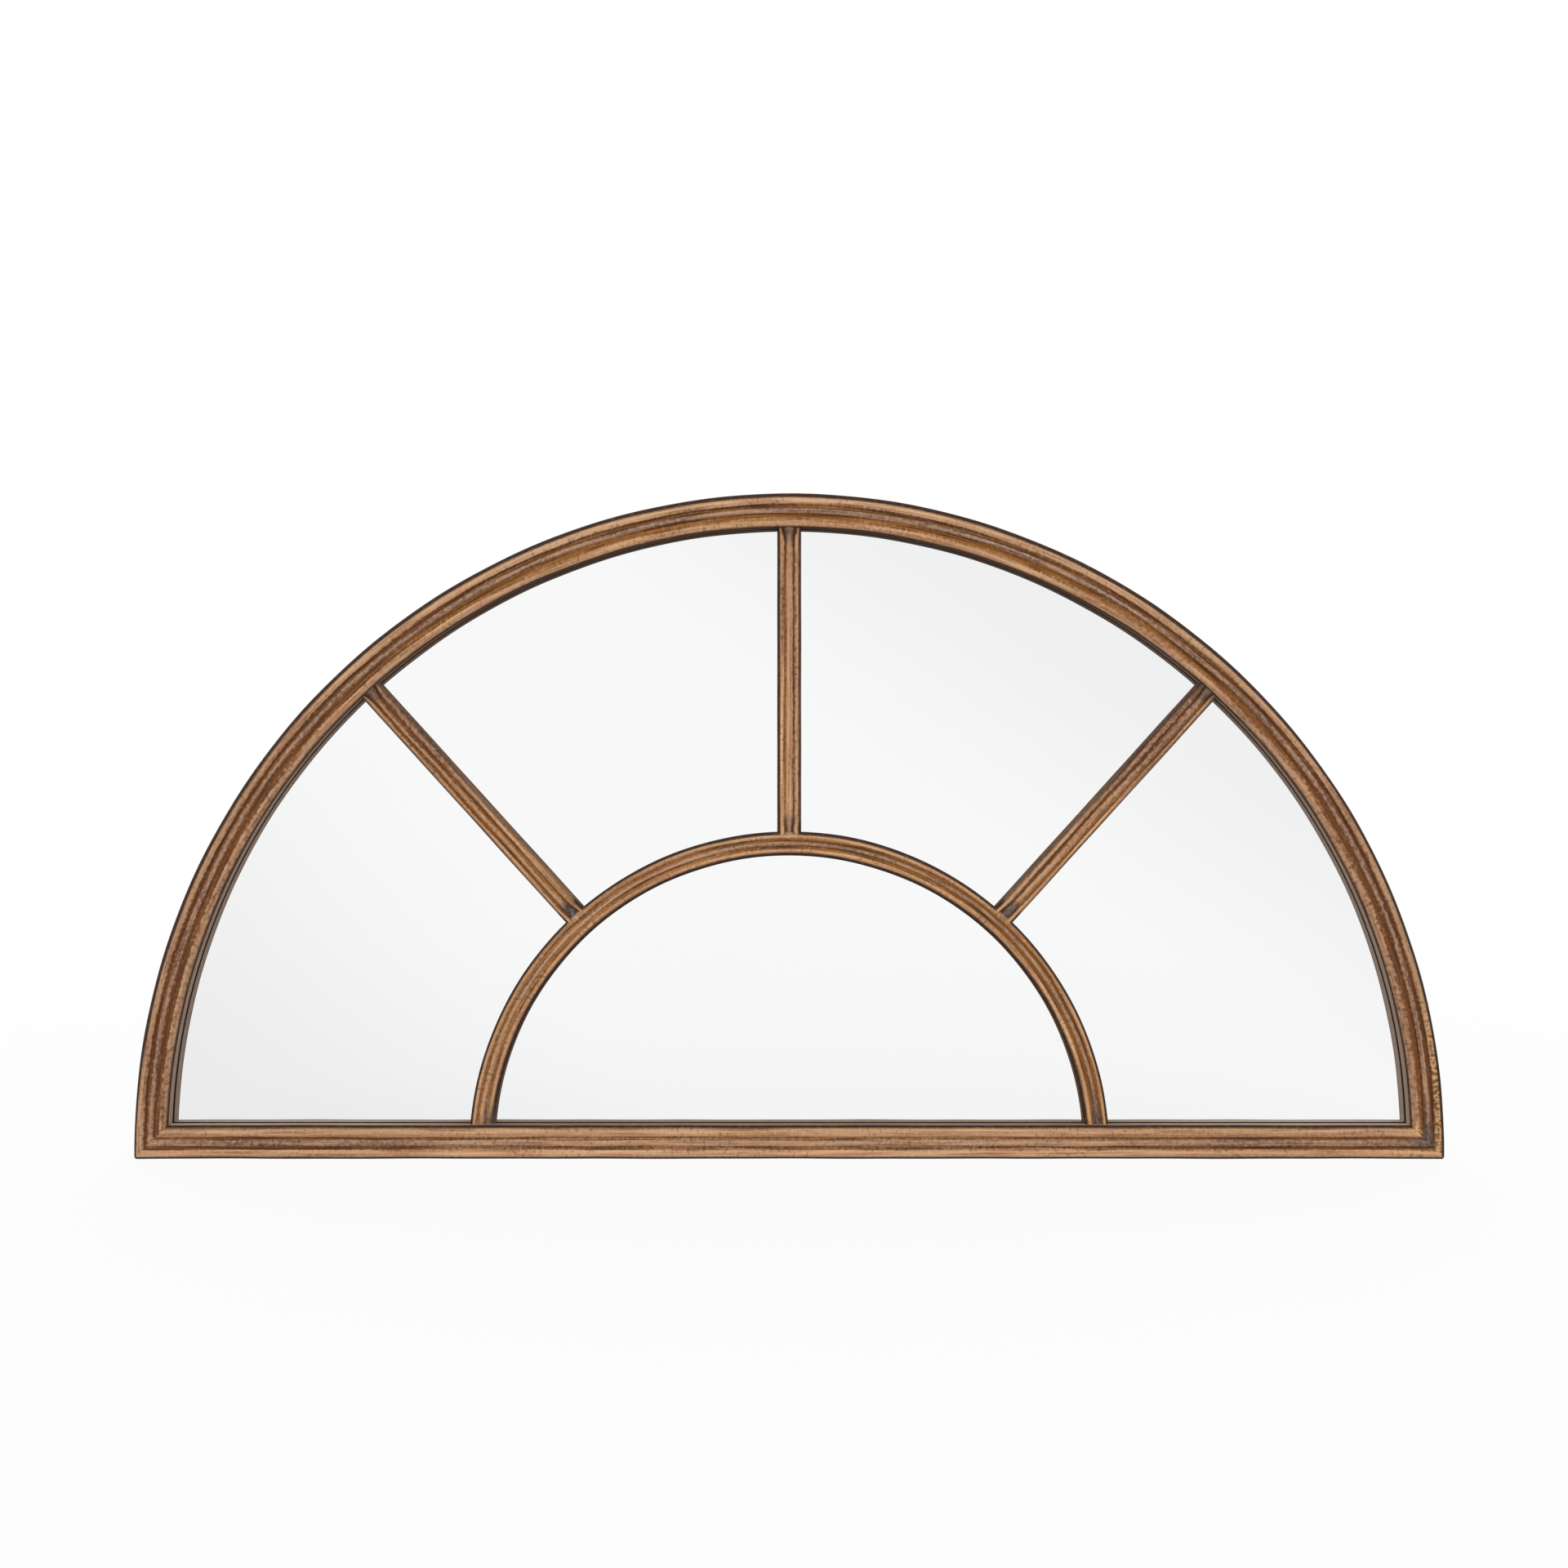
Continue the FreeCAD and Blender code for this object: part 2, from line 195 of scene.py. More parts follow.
class Shade:
    """One shader socket. A sum, difference or product with a number or another socket adds a Math node."""

    def __init__(self, tree, socket=None):
        self.tree = tree
        self.socket = socket

    def node(self, kind, settings=None, sockets=None, out=0):
        """Node of a kind: its settings are set first, and then its sockets get their values or links."""
        made = self.tree.nodes.new(kind)
        for key, value in (settings or {}).items():
            setattr(made, key, value)
        for key, value in (sockets or {}).items():
            if isinstance(value, Shade):
                self.tree.links.new(value.socket, made.inputs[key])
            else:
                made.inputs[key].default_value = value
        return Shade(self.tree, made.outputs[out] if made.outputs else None)

    def calc(self, operation, first, second):
        """Math node on two numbers or sockets."""
        return self.node("ShaderNodeMath", {"operation": operation}, {0: first, 1: second})

    def __add__(self, other):
        return self.calc("ADD", self, other)

    def __radd__(self, other):
        return self.calc("ADD", other, self)

    def __sub__(self, other):
        return self.calc("SUBTRACT", self, other)

    def __rsub__(self, other):
        return self.calc("SUBTRACT", other, self)

    def __mul__(self, other):
        return self.calc("MULTIPLY", self, other)

    def __rmul__(self, other):
        return self.calc("MULTIPLY", other, self)

    def step(self, low, high):
        """Smooth step from 0 at low to 1 at high."""
        ends = {"Value": self, "From Min": low, "From Max": high}
        return self.node("ShaderNodeMapRange", {"interpolation_type": "SMOOTHSTEP"}, ends)

    def blend(self, first, second):
        """Colour that goes from first to second as this value goes from 0 to 1."""
        return self.node("ShaderNodeMix", {"data_type": "RGBA"}, {0: self, 6: first, 7: second}, 2)

    def cloud(self, per_metre, detail):
        """Soft noise of this vector, with its own number of grains to the metre on each axis."""
        place = self.node("ShaderNodeVectorMath", {"operation": "MULTIPLY"}, {0: self, 1: per_metre})
        return self.node("ShaderNodeTexNoise", {}, {"Vector": place, "Scale": 1.0, "Detail": detail})

    def part(self, axis):
        """One axis of this vector."""
        return self.node("ShaderNodeSeparateXYZ", {}, {"Vector": self}, axis)

    def field(self, name):
        """Value that the mesh carries on its points."""
        return self.node("ShaderNodeAttribute", {"attribute_name": name}, {}, "Fac")

    def relief(self, height):
        """Normal of a surface raised by this value times a height."""
        return self.node("ShaderNodeBump", {}, {"Height": self, "Distance": height, "Strength": 1.0})

    def finish(self, sockets):
        """Principled surface with these sockets, on the material's output."""
        surface = self.node("ShaderNodeBsdfPrincipled", {}, sockets)
        self.node("ShaderNodeOutputMaterial", {}, {"Surface": surface})


def new_finish(name):
    """Empty material and the pen that draws its nodes."""
    made = bpy.data.materials.new(name)
    made.use_nodes = True
    made.node_tree.nodes.clear()
    return made, Shade(made.node_tree)


def paint(red, green, blue):
    """Linear colour from display values of 0 to 255."""
    share = np.array((red, green, blue)) / 255
    linear = np.where(share <= 0.04045, share / 12.92, ((share + 0.055) / 1.055) ** 2.4)
    return (*linear.tolist(), 1.0)


def antique_bronze():
    """Gold rubbed over brown glaze. Fields on the points steer it: rub is the gold left on the crests, reed
    the grey-mauve of the lower reed, bare the dark glaze of edges and backs, with painted shade along the
    edges, wall the pale sight wall, partly its own grey-beige paint and partly painted light for the light
    that the mirror throws on it, soot the burnt metal at welds, gild bright gold leaf, stain redder, duller
    and more granular glaze, which on the arch's lower sides is partly painted shade, and ochre a yellower
    gold and glaze."""
    made, pen = new_finish("antique_bronze")
    place = pen.node("ShaderNodeUVMap", {"uv_map": "along_across"})
    names = ("rub", "reed", "bare", "wall", "soot", "gild", "stain", "ochre")
    rub, reed, bare, wall, soot, gild, stain, ochre = (pen.field(name) for name in names)
    drift = place.cloud((13, 110, 1), 2.0)
    blush = place.cloud((23, 140, 1), 2.0)
    streak = place.cloud((15, 430, 1), 2.0)
    thread = place.cloud((9, 1000, 1), 2.0)
    mottle = place.cloud((160, 230, 1), 2.0)
    tick = place.cloud((340, 210, 1), 1.0)
    zone = place.cloud((19, 70, 1), 1.0)
    grain = place.cloud((1300, 1300, 1), 2.0)
    pit = place.cloud((270, 340, 1), 1.0)
    granule = place.cloud((250, 300, 1), 1.0)
    gold = (ochre * 0.7 + drift.step(0.42, 0.60) * 0.3).blend(paint(216, 172, 134), paint(192, 141, 97))
    gold = (blush.step(0.50, 0.66) * 0.65).blend(gold, paint(190, 130, 102))
    gold = (streak.step(0.52, 0.68) * 0.6).blend(gold, paint(232, 188, 144))
    gold = (streak.step(0.48, 0.34) * 0.5).blend(gold, paint(134, 88, 54))
    gold = (thread.step(0.54, 0.68) * 0.5).blend(gold, paint(236, 194, 148))
    gold = (thread.step(0.46, 0.32) * 0.5).blend(gold, paint(116, 73, 44))
    lumps = pit.step(0.46, 0.32)
    gold = (lumps * 0.4).blend(gold, paint(228, 186, 144))
    grey = mottle.step(0.38, 0.62).blend(paint(126, 101, 90), paint(152, 126, 112))
    grey = (drift.step(0.46, 0.64) * 0.4).blend(grey, paint(150, 116, 90))
    grey = (streak.step(0.50, 0.66) * 0.5).blend(grey, paint(180, 152, 134))
    grey = (streak.step(0.48, 0.34) * 0.6).blend(grey, paint(100, 75, 63))
    grey = (granule.step(0.52, 0.68) * 0.55).blend(grey, paint(190, 154, 130))
    grey = (granule.step(0.47, 0.32) * 0.50).blend(grey, paint(98, 70, 54))
    colour = (reed * (0.6 + zone.step(0.40, 0.58) * 0.4)).blend(gold, grey)
    dull = streak.step(0.36, 0.62).blend(paint(98, 64, 46), paint(152, 110, 86))
    colour = (stain * 0.65).blend(colour, dull)
    colour = (granule.step(0.47, 0.33) * stain * 0.5).blend(colour, paint(96, 64, 44))
    colour = (granule.step(0.55, 0.70) * stain * 0.45).blend(colour, paint(206, 162, 124))
    glaze = streak.step(0.38, 0.62).blend(paint(84, 50, 26), paint(136, 88, 40))
    glaze = (ochre * streak.step(0.34, 0.56)).blend(glaze, paint(154, 100, 40))
    glaze = (stain * streak.step(0.36, 0.60)).blend(glaze, paint(98, 46, 28))
    worn = rub + (streak - 0.5) * 0.55 + (drift - 0.5) * 0.4 + (mottle - 0.5) * 0.35 + (tick - 0.5) * 0.6
    worn = worn + (granule - 0.5) * stain * 1.8
    colour = worn.step(0.06, 0.86).blend(glaze, colour)
    crackle = tick.step(0.42, 0.29) * zone.step(0.38, 0.56)
    colour = (crackle * 0.45).blend(colour, paint(92, 61, 42))
    colour = (tick.step(0.60, 0.72) * zone.step(0.50, 0.64) * rub * 0.35).blend(colour, paint(224, 181, 136))
    specks = pit.step(0.66, 0.76) * zone.step(0.40, 0.60)
    colour = (specks * 0.7).blend(colour, paint(72, 49, 36))
    colour = (gild * (0.1 + tick.step(0.43, 0.57) * 0.9)).blend(colour, paint(226, 180, 122))
    # Pale grey-beige of the sight wall: partly the wall's own paint, partly painted light for the light that
    # the mirror throws onto it.
    sight = grain.step(0.3, 0.7).blend(paint(206, 190, 170), paint(222, 206, 188))
    colour = wall.blend(colour, sight)
    edge = (grain * 0.5 + mottle * 0.5).step(0.38, 0.62).blend(paint(38, 24, 16), paint(64, 42, 28))
    colour = pen.calc("MINIMUM", bare * (0.72 + mottle * 0.56), 1.0).blend(colour, edge)
    burnt = mottle.step(0.36, 0.64).blend(paint(58, 52, 47), paint(104, 98, 96))
    colour = soot.blend(colour, burnt)
    on_face = (1.0 - bare) * (1.0 - wall)
    height = (streak * 0.4 + lumps * 0.6 - crackle * 0.4 - specks * 0.6) * on_face
    height = height + mottle * 0.3 + grain * 0.1
    pen.finish({
        "Base Color": colour,
        "Metallic": rub * on_face * 0.22,
        "Roughness": 0.58 - rub * 0.14 + grain * 0.1 + (1.0 - on_face) * 0.25,
        "Specular IOR Level": 0.25,
        "Normal": height.relief(0.20 * MM),
    })
    return made


bronze = antique_bronze()


FRONT_BAND = (3.0 * MM, 1.0 * MM)
REED_BAND = (0.2 * MM, -1.6 * MM)
LIP_BAND = (0.6 * MM, 1.8 * MM)


def moulding_fields(show, middle, half_face, half_reed, groove_y, dark, edges):
    """Finish along a section, by the distance from its middle line: on each side of the line the groove is
    dark over one width on the reed and another on the bead, the lip is dark over a third, partly glaze and
    partly painted shade where the edge turns away from the light, and the reed is mauve."""
    side = show[:, 0] - middle
    off = np.abs(side)
    front = smooth(*FRONT_BAND, show[:, 1] - groove_y)
    clear = []
    for reed, bead in dark:
        clear.append(np.maximum(smooth(*reed, half_reed - off), smooth(*bead, off - half_reed)))
    lips = [smooth(*edge, half_face - off) for edge in edges]
    return {
        "rub": np.where(side < 0, *clear) * front,
        "reed": smooth(*REED_BAND, off - half_reed) * front,
        "bare": 1 - np.where(side < 0, *lips) * front,
    }


def both_sides(shown, count):
    """Field values of the show side followed by the same number of hidden points in bare glaze."""
    hidden = {"rub": 0.0, "reed": 0.0, "bare": 0.5, "wall": 0.0}
    return {name: np.concatenate((shown[name], np.full(count, hidden[name]))) for name in shown}


show, hidden, walked = bent_sheet(frame_path(), FRAME_TURN, FRAME_STEP)
section = np.concatenate((show, hidden[::-1]))
section_walk = np.concatenate((walked, walked[::-1]))[None, :]
inset = section[:, 0][None, :]
depth = section[:, 1][None, :]
ARCH_DARK = (
    ((1.7 * MM, 5.4 * MM), (0.1 * MM, 3.0 * MM)),
    ((0.7 * MM, 4.4 * MM), (2.2 * MM, 6.5 * MM)),
)
ARCH_EDGES = ((2.0 * MM, 3.4 * MM), (0.2 * MM, 1.7 * MM))
# Where the sight wall's pale band gives way to dark before the glass: painted shade in the corner with the
# glass.
ARCH_JUNCTION = (0.9 * MM, 2.4 * MM)
# Share of the pale sight-wall colour: partly the wall's paint, partly painted light.
SIGHT_PAINT_AND_LIGHT = 0.45
SILL_REED_DARK = (0.4 * MM, 4.0 * MM)
# The inner bead's downward flank is dark over a narrower band: painted light on a flank that faces away from
# the light.
SILL_DARK = ((SILL_REED_DARK, (0.2 * MM, 3.0 * MM)), (SILL_REED_DARK, (0.0 * MM, 1.7 * MM)))
SILL_EDGES = ((1.4 * MM, 3.0 * MM), (1.0 * MM, 3.4 * MM))
SILL_JUNCTION = (1.3 * MM, 2.8 * MM)
SILL_END = (250.0 * MM, 420.0 * MM)
FACE_DEPTH = (-22.0 * MM, -28.0 * MM)
LOW_SIDES = (math.radians(22), math.radians(75))
UPRIGHT = (math.radians(72), math.radians(28))
RIGHT_FOOT = (math.radians(164), math.radians(172))
OUTER_BEAD = (9.0 * MM, 7.5 * MM)
INNER_BEAD = FACE_WIDTH - 4.5 * MM
INNER_BEAD_WIDTH = 4.0 * MM
INNER_LIP = (FACE_WIDTH - 6.0 * MM, FACE_WIDTH - 3.5 * MM)
MID_REED = (5.0 * MM, 3.5 * MM)
ARCH_OCHRE = (1.0 * MM, 3.0 * MM)
SILL_OCHRE = (0.0 * MM, 3.0 * MM)
CORNER_RUN = 9.0 * MM
SOOT_RUN = 22.0 * MM
GILT_RUN = 40.0 * MM
SHY_EDGE = 0.3 * MM


def channel_fields(dark, edges, junction):
    """Finish of the frame's section: the moulding's fields, and on the sight wall a pale band, partly the
    wall's paint and partly painted light, that starts behind the dark lip and ends before the junction with
    the glass, which is left dark as painted shade in the corner."""
    half = FACE_WIDTH / 2
    shown = moulding_fields(show, half, half, half - BEAD_WIDTH, GROOVE_Y, dark, edges)
    behind_lip = smooth(*LIP_BAND, show[:, 1] - GROOVE_Y)
    before_glass = smooth(*junction, SEAT_Y - show[:, 1])
    shown["wall"] = behind_lip * before_glass * (show[:, 0] > half)
    shown["bare"] = shown["bare"] * (1 - shown["wall"])
    return both_sides(shown, len(show))


arch_fields = channel_fields(ARCH_DARK, ARCH_EDGES, ARCH_JUNCTION)
sill_fields = channel_fields(SILL_DARK, SILL_EDGES, SILL_JUNCTION)
on_face = smooth(*FACE_DEPTH, depth)


def softened_corner(x, z):
    """Rounds the two lower corners: within the rounding, the squares about its centre become circles."""
    a = CORNER_ROUND - np.clip(ARCH_RADIUS - np.abs(x), 0, CORNER_ROUND)
    b = CORNER_ROUND - np.clip(z - SILL_Z, 0, CORNER_ROUND)
    far = np.hypot(a, b)
    scale = np.where(far > 0, np.maximum(a, b) / np.maximum(far, 1e-9), 1.0)
    both = (a > 0) & (b > 0)
    new_x = np.sign(x) * (ARCH_RADIUS - CORNER_ROUND + a * scale)
    return np.where(both, new_x, x), np.where(both, SILL_Z + CORNER_ROUND - b * scale, z)


WORKED_AT = np.radians((3, 10, 36, 52, 128, 144, 170, 177))
OUTER_GROOVE = np.array((10.1, 10.0, 10.0, 11.5, 11.5, 9.4, 9.4, 10.1)) * MM
INNER_GROOVE = np.array((19.2, 18.8, 18.7, 19.7, 19.7, 17.8, 17.9, 19.2)) * MM
SIGHT_LIP = np.array((30.6, 30.4, 30.4, 31.2, 31.2, 30.2, 30.2, 30.6)) * MM
# Extra width of the arch's dark outer edge at each angle: glaze and painted shade where the bead turns into
# the outer wall.
MORE_DARK = np.array((0.2, 1.5, 1.5, 1.0, 1.2, 1.1, 1.1, 0.9)) * MM


def worked(outer, inner, lip):
    """Insets of the section after hand work: the two grooves and the sight lip lie at these insets, and what
    is between them is stretched evenly."""
    first = inset * outer / BEAD_WIDTH
    middle = outer + (inset - BEAD_WIDTH) * (inner - outer) / (FACE_WIDTH - 2 * BEAD_WIDTH)
    last = inner + (inset - FACE_WIDTH + BEAD_WIDTH) * (lip - inner) / BEAD_WIDTH
    return np.where(inset < BEAD_WIDTH, first, np.where(inset < FACE_WIDTH - BEAD_WIDTH, middle, last))


foot_inset = worked(OUTER_GROOVE[0], INNER_GROOVE[0], SIGHT_LIP[0])
foot = np.arcsin((ARCH_RADIUS - ARCH_RISE) / (math.sqrt(2) * (ARCH_RADIUS - foot_inset))) - math.pi / 4
share = crowded(ARCH_ROWS, (0.0, 1.0), END_CROWD)[:, None]
turn = foot + share * (math.pi - 2 * foot)
along = ARCH_RADIUS * turn
to_left = ARCH_RADIUS * (turn - foot)
to_right = ARCH_RADIUS * (math.pi - foot - turn)
uneven = on_face * smooth(0, SETTLE, np.minimum(to_left, to_right)) * HAND
spread = worked(*(np.interp(turn, WORKED_AT, places) for places in (OUTER_GROOVE, INNER_GROOVE, SIGHT_LIP)))
reach = ARCH_RADIUS - spread - uneven * (1 + waver(along, inset)) - SHY * smooth(GAUGE, SHY_EDGE, inset)
x, z = softened_corner(-reach * np.cos(turn), ARCH_Z + reach * np.sin(turn))
y = depth + HAND_DEPTH * uneven * (1 + waver(along + 3.1, inset))
from_foot = np.minimum(turn, math.pi - turn)
# Lower sides of the arch: duller, darker glaze and thinner gold, partly the finish and partly painted shade,
# since gold rubbed along the upright moulding sends less of the light from above towards the front.
low_sides = 1 - smooth(*LOW_SIDES, from_foot)
upright = smooth(*UPRIGHT, from_foot)
outer_bead = smooth(*OUTER_BEAD, inset)
inner_bead = bell(INNER_BEAD - inset, INNER_BEAD_WIDTH)
mid_reed = smooth(*MID_REED, np.abs(inset - FACE_WIDTH / 2))
ticked = smooth(*RIGHT_FOOT, turn) * outer_bead
# Dark outer edge of the arch: dark glaze, and painted shade where the bead turns down into the outer wall.
outer_edge_glaze_and_shade = 1 - smooth(*ARCH_EDGES[0], inset - np.interp(turn, WORKED_AT, MORE_DARK))
corner_gild = bell(to_right, CORNER_RUN) * inner_bead + 0.35 * bell(to_left, CORNER_RUN) * mid_reed
# Arch sight wall: painted shade (dark glaze) at the top, where it faces down, and the pale band of painted
# light only on the upright sides.
sight_painted_shade = 0.85 * arch_fields["wall"] * (1 - upright)
# On the lower sides the lower gold floor, the stain and the thinner ochre are partly painted shade.
patches = {
    "rub": np.maximum(arch_fields["rub"] * (1 - 0.6 * ticked), (0.16 - 0.1 * low_sides) * on_face),
    "wall": SIGHT_PAINT_AND_LIGHT * arch_fields["wall"] * upright,
    "bare": np.maximum(np.maximum(arch_fields["bare"], outer_edge_glaze_and_shade), sight_painted_shade),
    "reed": 0.95 * arch_fields["reed"],
    "stain": 0.10 + low_sides * (0.45 + 0.35 * smooth(*INNER_LIP, inset)),
    "ochre": smooth(*ARCH_OCHRE, inset - FACE_WIDTH / 2) * (0.8 - 0.6 * low_sides),
    "gild": 0.7 * ticked + corner_gild,
    "soot": 0.75 * mid_reed * bell(to_right, SOOT_RUN),
}
arch = skin("arch_moulding", (x, y, z), {**arch_fields, **patches}, along, section_walk, bronze)
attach(arch, "frame")
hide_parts("arch_frame")

side = 2 * crowded(SILL_ROWS, (0.0, 1.0), END_CROWD)[:, None] - 1
flat_x = side * (ARCH_RADIUS - foot_inset)
to_left = ARCH_RADIUS - foot_inset + flat_x
to_right = ARCH_RADIUS - foot_inset - flat_x
uneven = on_face * smooth(0, SETTLE, np.minimum(to_left, to_right)) * HAND
x, z = softened_corner(flat_x, SILL_Z + foot_inset + uneven * (1 + waver(flat_x + 9.0, inset)))
y = depth + HAND_DEPTH * uneven * (1 + waver(flat_x + 5.7, inset))
toward_ends = smooth(*SILL_END, np.abs(flat_x))
corner_gild = bell(to_right, CORNER_RUN) * inner_bead + 0.35 * bell(to_left, CORNER_RUN) * mid_reed
# Sill: a higher gold floor in the middle, partly painted highlight for the sheen that the level moulding
# catches from above, and a paler sight wall, which faces up: painted light, paler still towards the ends.
patches = {
    "rub": np.maximum(sill_fields["rub"], (0.34 - 0.28 * toward_ends) * on_face),
    "wall": (SIGHT_PAINT_AND_LIGHT + (1 - SIGHT_PAINT_AND_LIGHT) * toward_ends) * sill_fields["wall"],
    "reed": (0.45 + 0.45 * toward_ends) * sill_fields["reed"],
    "stain": 0.05 + 0.25 * toward_ends,
    "ochre": 0.15 + 0.3 * smooth(*SILL_OCHRE, inset - FACE_WIDTH / 2),
    "gild": 0.45 * bell(to_right - GILT_RUN, GILT_RUN) * outer_bead + corner_gild,
    "soot": 0.7 * mid_reed * bell(to_right, SOOT_RUN),
}
sill = skin("sill_moulding", (x, y, z), {**sill_fields, **patches}, flat_x + 4.0, section_walk, bronze)
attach(sill, "frame")
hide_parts("sill_rail")

# Glazing bars.
# An inner arch on the sill and three spokes, of one smaller reeded channel that is open to the glass. The
# spokes' feet are coped over the inner arch's bead, their tops butt on the sight wall, and all are welded.
INNER_RADIUS = 283.5 * MM
HUB_Z = SILL_Z + 5.0 * MM
SPOKE_ANGLE = math.radians(42.2)
BAR_WIDTH = 22.0 * MM
BAR_BEAD_WIDTH = 7.2 * MM
BAR_BEAD_HEIGHT = 2.2 * MM
BAR_REED_HEIGHT = 1.5 * MM
BAR_GROOVE_Y = -23.3 * MM
BAR_BACK_Y = -15.6 * MM
HALF_BAR = BAR_WIDTH / 2
HALF_REED = HALF_BAR - BAR_BEAD_WIDTH
INNER_ROWS = 380
SPOKE_ROWS = 150
BAR_DARK = (((0.9 * MM, 3.3 * MM), (0.4 * MM, 3.6 * MM)),) * 2
BAR_EDGES = ((1.9 * MM, 3.3 * MM),) * 2
BAR_WALL = 0.7
WELD_REACH = 13.0 * MM
WELD_LIFT = 0.9 * MM
FILLET_REACH = 12.0 * MM
FILLET_LIFT = 6.5 * MM
FILLET_EDGE = 0.5 * MM
CROWN_EDGE = 0.5 * MM
BAR_TURN = math.radians(11)
BAR_STEP = 4.0 * MM
BAR_LIP_BAND = (1.0 * MM, 2.5 * MM)
BAR_BACK_BAND = (0.8 * MM, 2.0 * MM)
BAR_FACE_BAND = (6.0 * MM, 2.5 * MM)
BAR_REED_BAND = (0.4 * MM, -0.6 * MM)
BAR_HAND = 0.7
BAR_HAND_DEPTH = 0.3


def bar_path():
    """Side wall, reeded face and side wall: distance from the bar's middle line against depth."""
    widths = (BAR_BEAD_WIDTH, 2 * HALF_REED, BAR_BEAD_WIDTH)
    across, rise = reed_arcs(widths, (BAR_BEAD_HEIGHT, BAR_REED_HEIGHT, BAR_BEAD_HEIGHT))
    face = np.stack((across - HALF_BAR, BAR_GROOVE_Y - rise), 1)
    left = np.array([(-HALF_BAR, BAR_BACK_Y)])
    right = np.array([(HALF_BAR, BAR_BACK_Y)])
    return np.concatenate((left, face, right))


def run_on(depth, groove, width, height):
    """How far a bar's end runs on over the bead that it meets: at each depth in front of the groove line,
    the bead's arc has drawn in by half its width less half the chord of the arc there."""
    radius = (width**2 / 4 + height**2) / (2 * height)
    above = np.clip(groove - depth, 0, height)
    return width / 2 - np.sqrt(radius**2 - (above + radius - height) ** 2)


def placed(low, high):
    """Bar section with its two grooves moved to these places, and the reed and the beads stretched evenly."""
    first = across + (across + HALF_BAR) * (low + HALF_REED) / BAR_BEAD_WIDTH
    middle = low + (across + HALF_REED) * (high - low) / (2 * HALF_REED)
    last = across + (HALF_BAR - across) * (high - HALF_REED) / BAR_BEAD_WIDTH
    return np.where(across < -HALF_REED, first, np.where(across < HALF_REED, middle, last))


show, hidden, walked = bent_sheet(bar_path(), BAR_TURN, BAR_STEP)
section = np.concatenate((show, hidden[::-1]))
section_walk = np.concatenate((walked, walked[::-1]))[None, :]
shown = moulding_fields(show, 0.0, HALF_BAR, HALF_REED, BAR_GROOVE_Y, BAR_DARK, BAR_EDGES)
# Pale band on the bars' side walls, as on the frame's sight wall: partly their paint, partly painted light.
behind_lip = smooth(*BAR_LIP_BAND, show[:, 1] - BAR_GROOVE_Y)
band = BAR_WALL * behind_lip * smooth(*BAR_BACK_BAND, BAR_BACK_Y - show[:, 1])
shown["wall"] = SIGHT_PAINT_AND_LIGHT * band
shown["bare"] = shown["bare"] * (1 - band)
bar_fields = both_sides(shown, len(show))
across = section[:, 0][None, :]
depth = section[:, 1][None, :]
over_bar = run_on(depth, BAR_GROOVE_Y, BAR_BEAD_WIDTH, BAR_BEAD_HEIGHT)
on_face = smooth(*BAR_FACE_BAND, depth - BAR_GROOVE_Y)
in_reed = smooth(*BAR_REED_BAND, np.abs(across) - HALF_REED) * on_face

BENT_AT = np.radians((20, 45, 65, 112, 136, 160))
BENT_GROOVES = (
    np.array((-2.6, -2.6, -2.6, -2.3, -1.7, -1.6)) * MM,
    np.array((4.4, 4.4, 3.7, 2.8, 4.2, 4.4)) * MM,
)
BENT_REED = (0.15, 0.2, 0.5, 0.95, 0.9, 0.9)
BENT_FLOOR = (0.34, 0.34, 0.30, 0.08, 0.05, 0.05)
JOINT_CROWD = 0.012
BEAD_BAND = 1.5 * MM
WELD_BROAD = (8.0 * MM, 6.0 * MM, 6.5 * MM)
WELD_PROUD = 0.7
WELD_RIPPLE = 0.25
WELD_WAVE = 0.55 * MM
GAP_RUN = 3.2 * MM
LEFT_SOOT_RUN = 16.0 * MM
LEFT_SOOT_BAND = (-1.0 * MM, -3.0 * MM)
foot = np.arcsin((SILL_Z + SIGHT_LIP[0] - HUB_Z) / (INNER_RADIUS + across))
spoke_turns = (math.pi / 2 - SPOKE_ANGLE, math.pi / 2, math.pi / 2 + SPOKE_ANGLE)
joint_shares = [turn / math.pi for turn in spoke_turns]
share = crowded(INNER_ROWS, [0.0, 1.0] + joint_shares, JOINT_CROWD)[:, None]
turn = foot + share * (math.pi - 2 * foot)
along = INNER_RADIUS * turn
to_left = INNER_RADIUS * (turn - foot)
to_right = INNER_RADIUS * (math.pi - foot - turn)
uneven = on_face * smooth(0, SETTLE, np.minimum(to_left, to_right)) * HAND
outer_bead = smooth(HALF_REED, HALF_REED + BEAD_BAND, across) * on_face
weld = np.zeros_like(turn)
for place, broad in zip(spoke_turns, WELD_BROAD):
    weld = np.maximum(weld, bell(INNER_RADIUS * (turn - place), broad))
ripple = 1 + WELD_RIPPLE * np.sin(along / WELD_WAVE)
y = depth + BAR_HAND_DEPTH * uneven * (1 + waver(along + 23.0, across))
y = y - WELD_PROUD * WELD_LIFT * weld * outer_bead * ripple
bent = placed(*(np.interp(turn, BENT_AT, places) for places in BENT_GROOVES))
reach = INNER_RADIUS + bent + uneven * waver(along + 20.0, across)
x = -reach * np.cos(turn)
z = HUB_Z + reach * np.sin(turn)
gap = bell(INNER_RADIUS * (turn - spoke_turns[2]), GAP_RUN)
left_soot = bell(to_left, LEFT_SOOT_RUN) * smooth(*LEFT_SOOT_BAND, across) * on_face
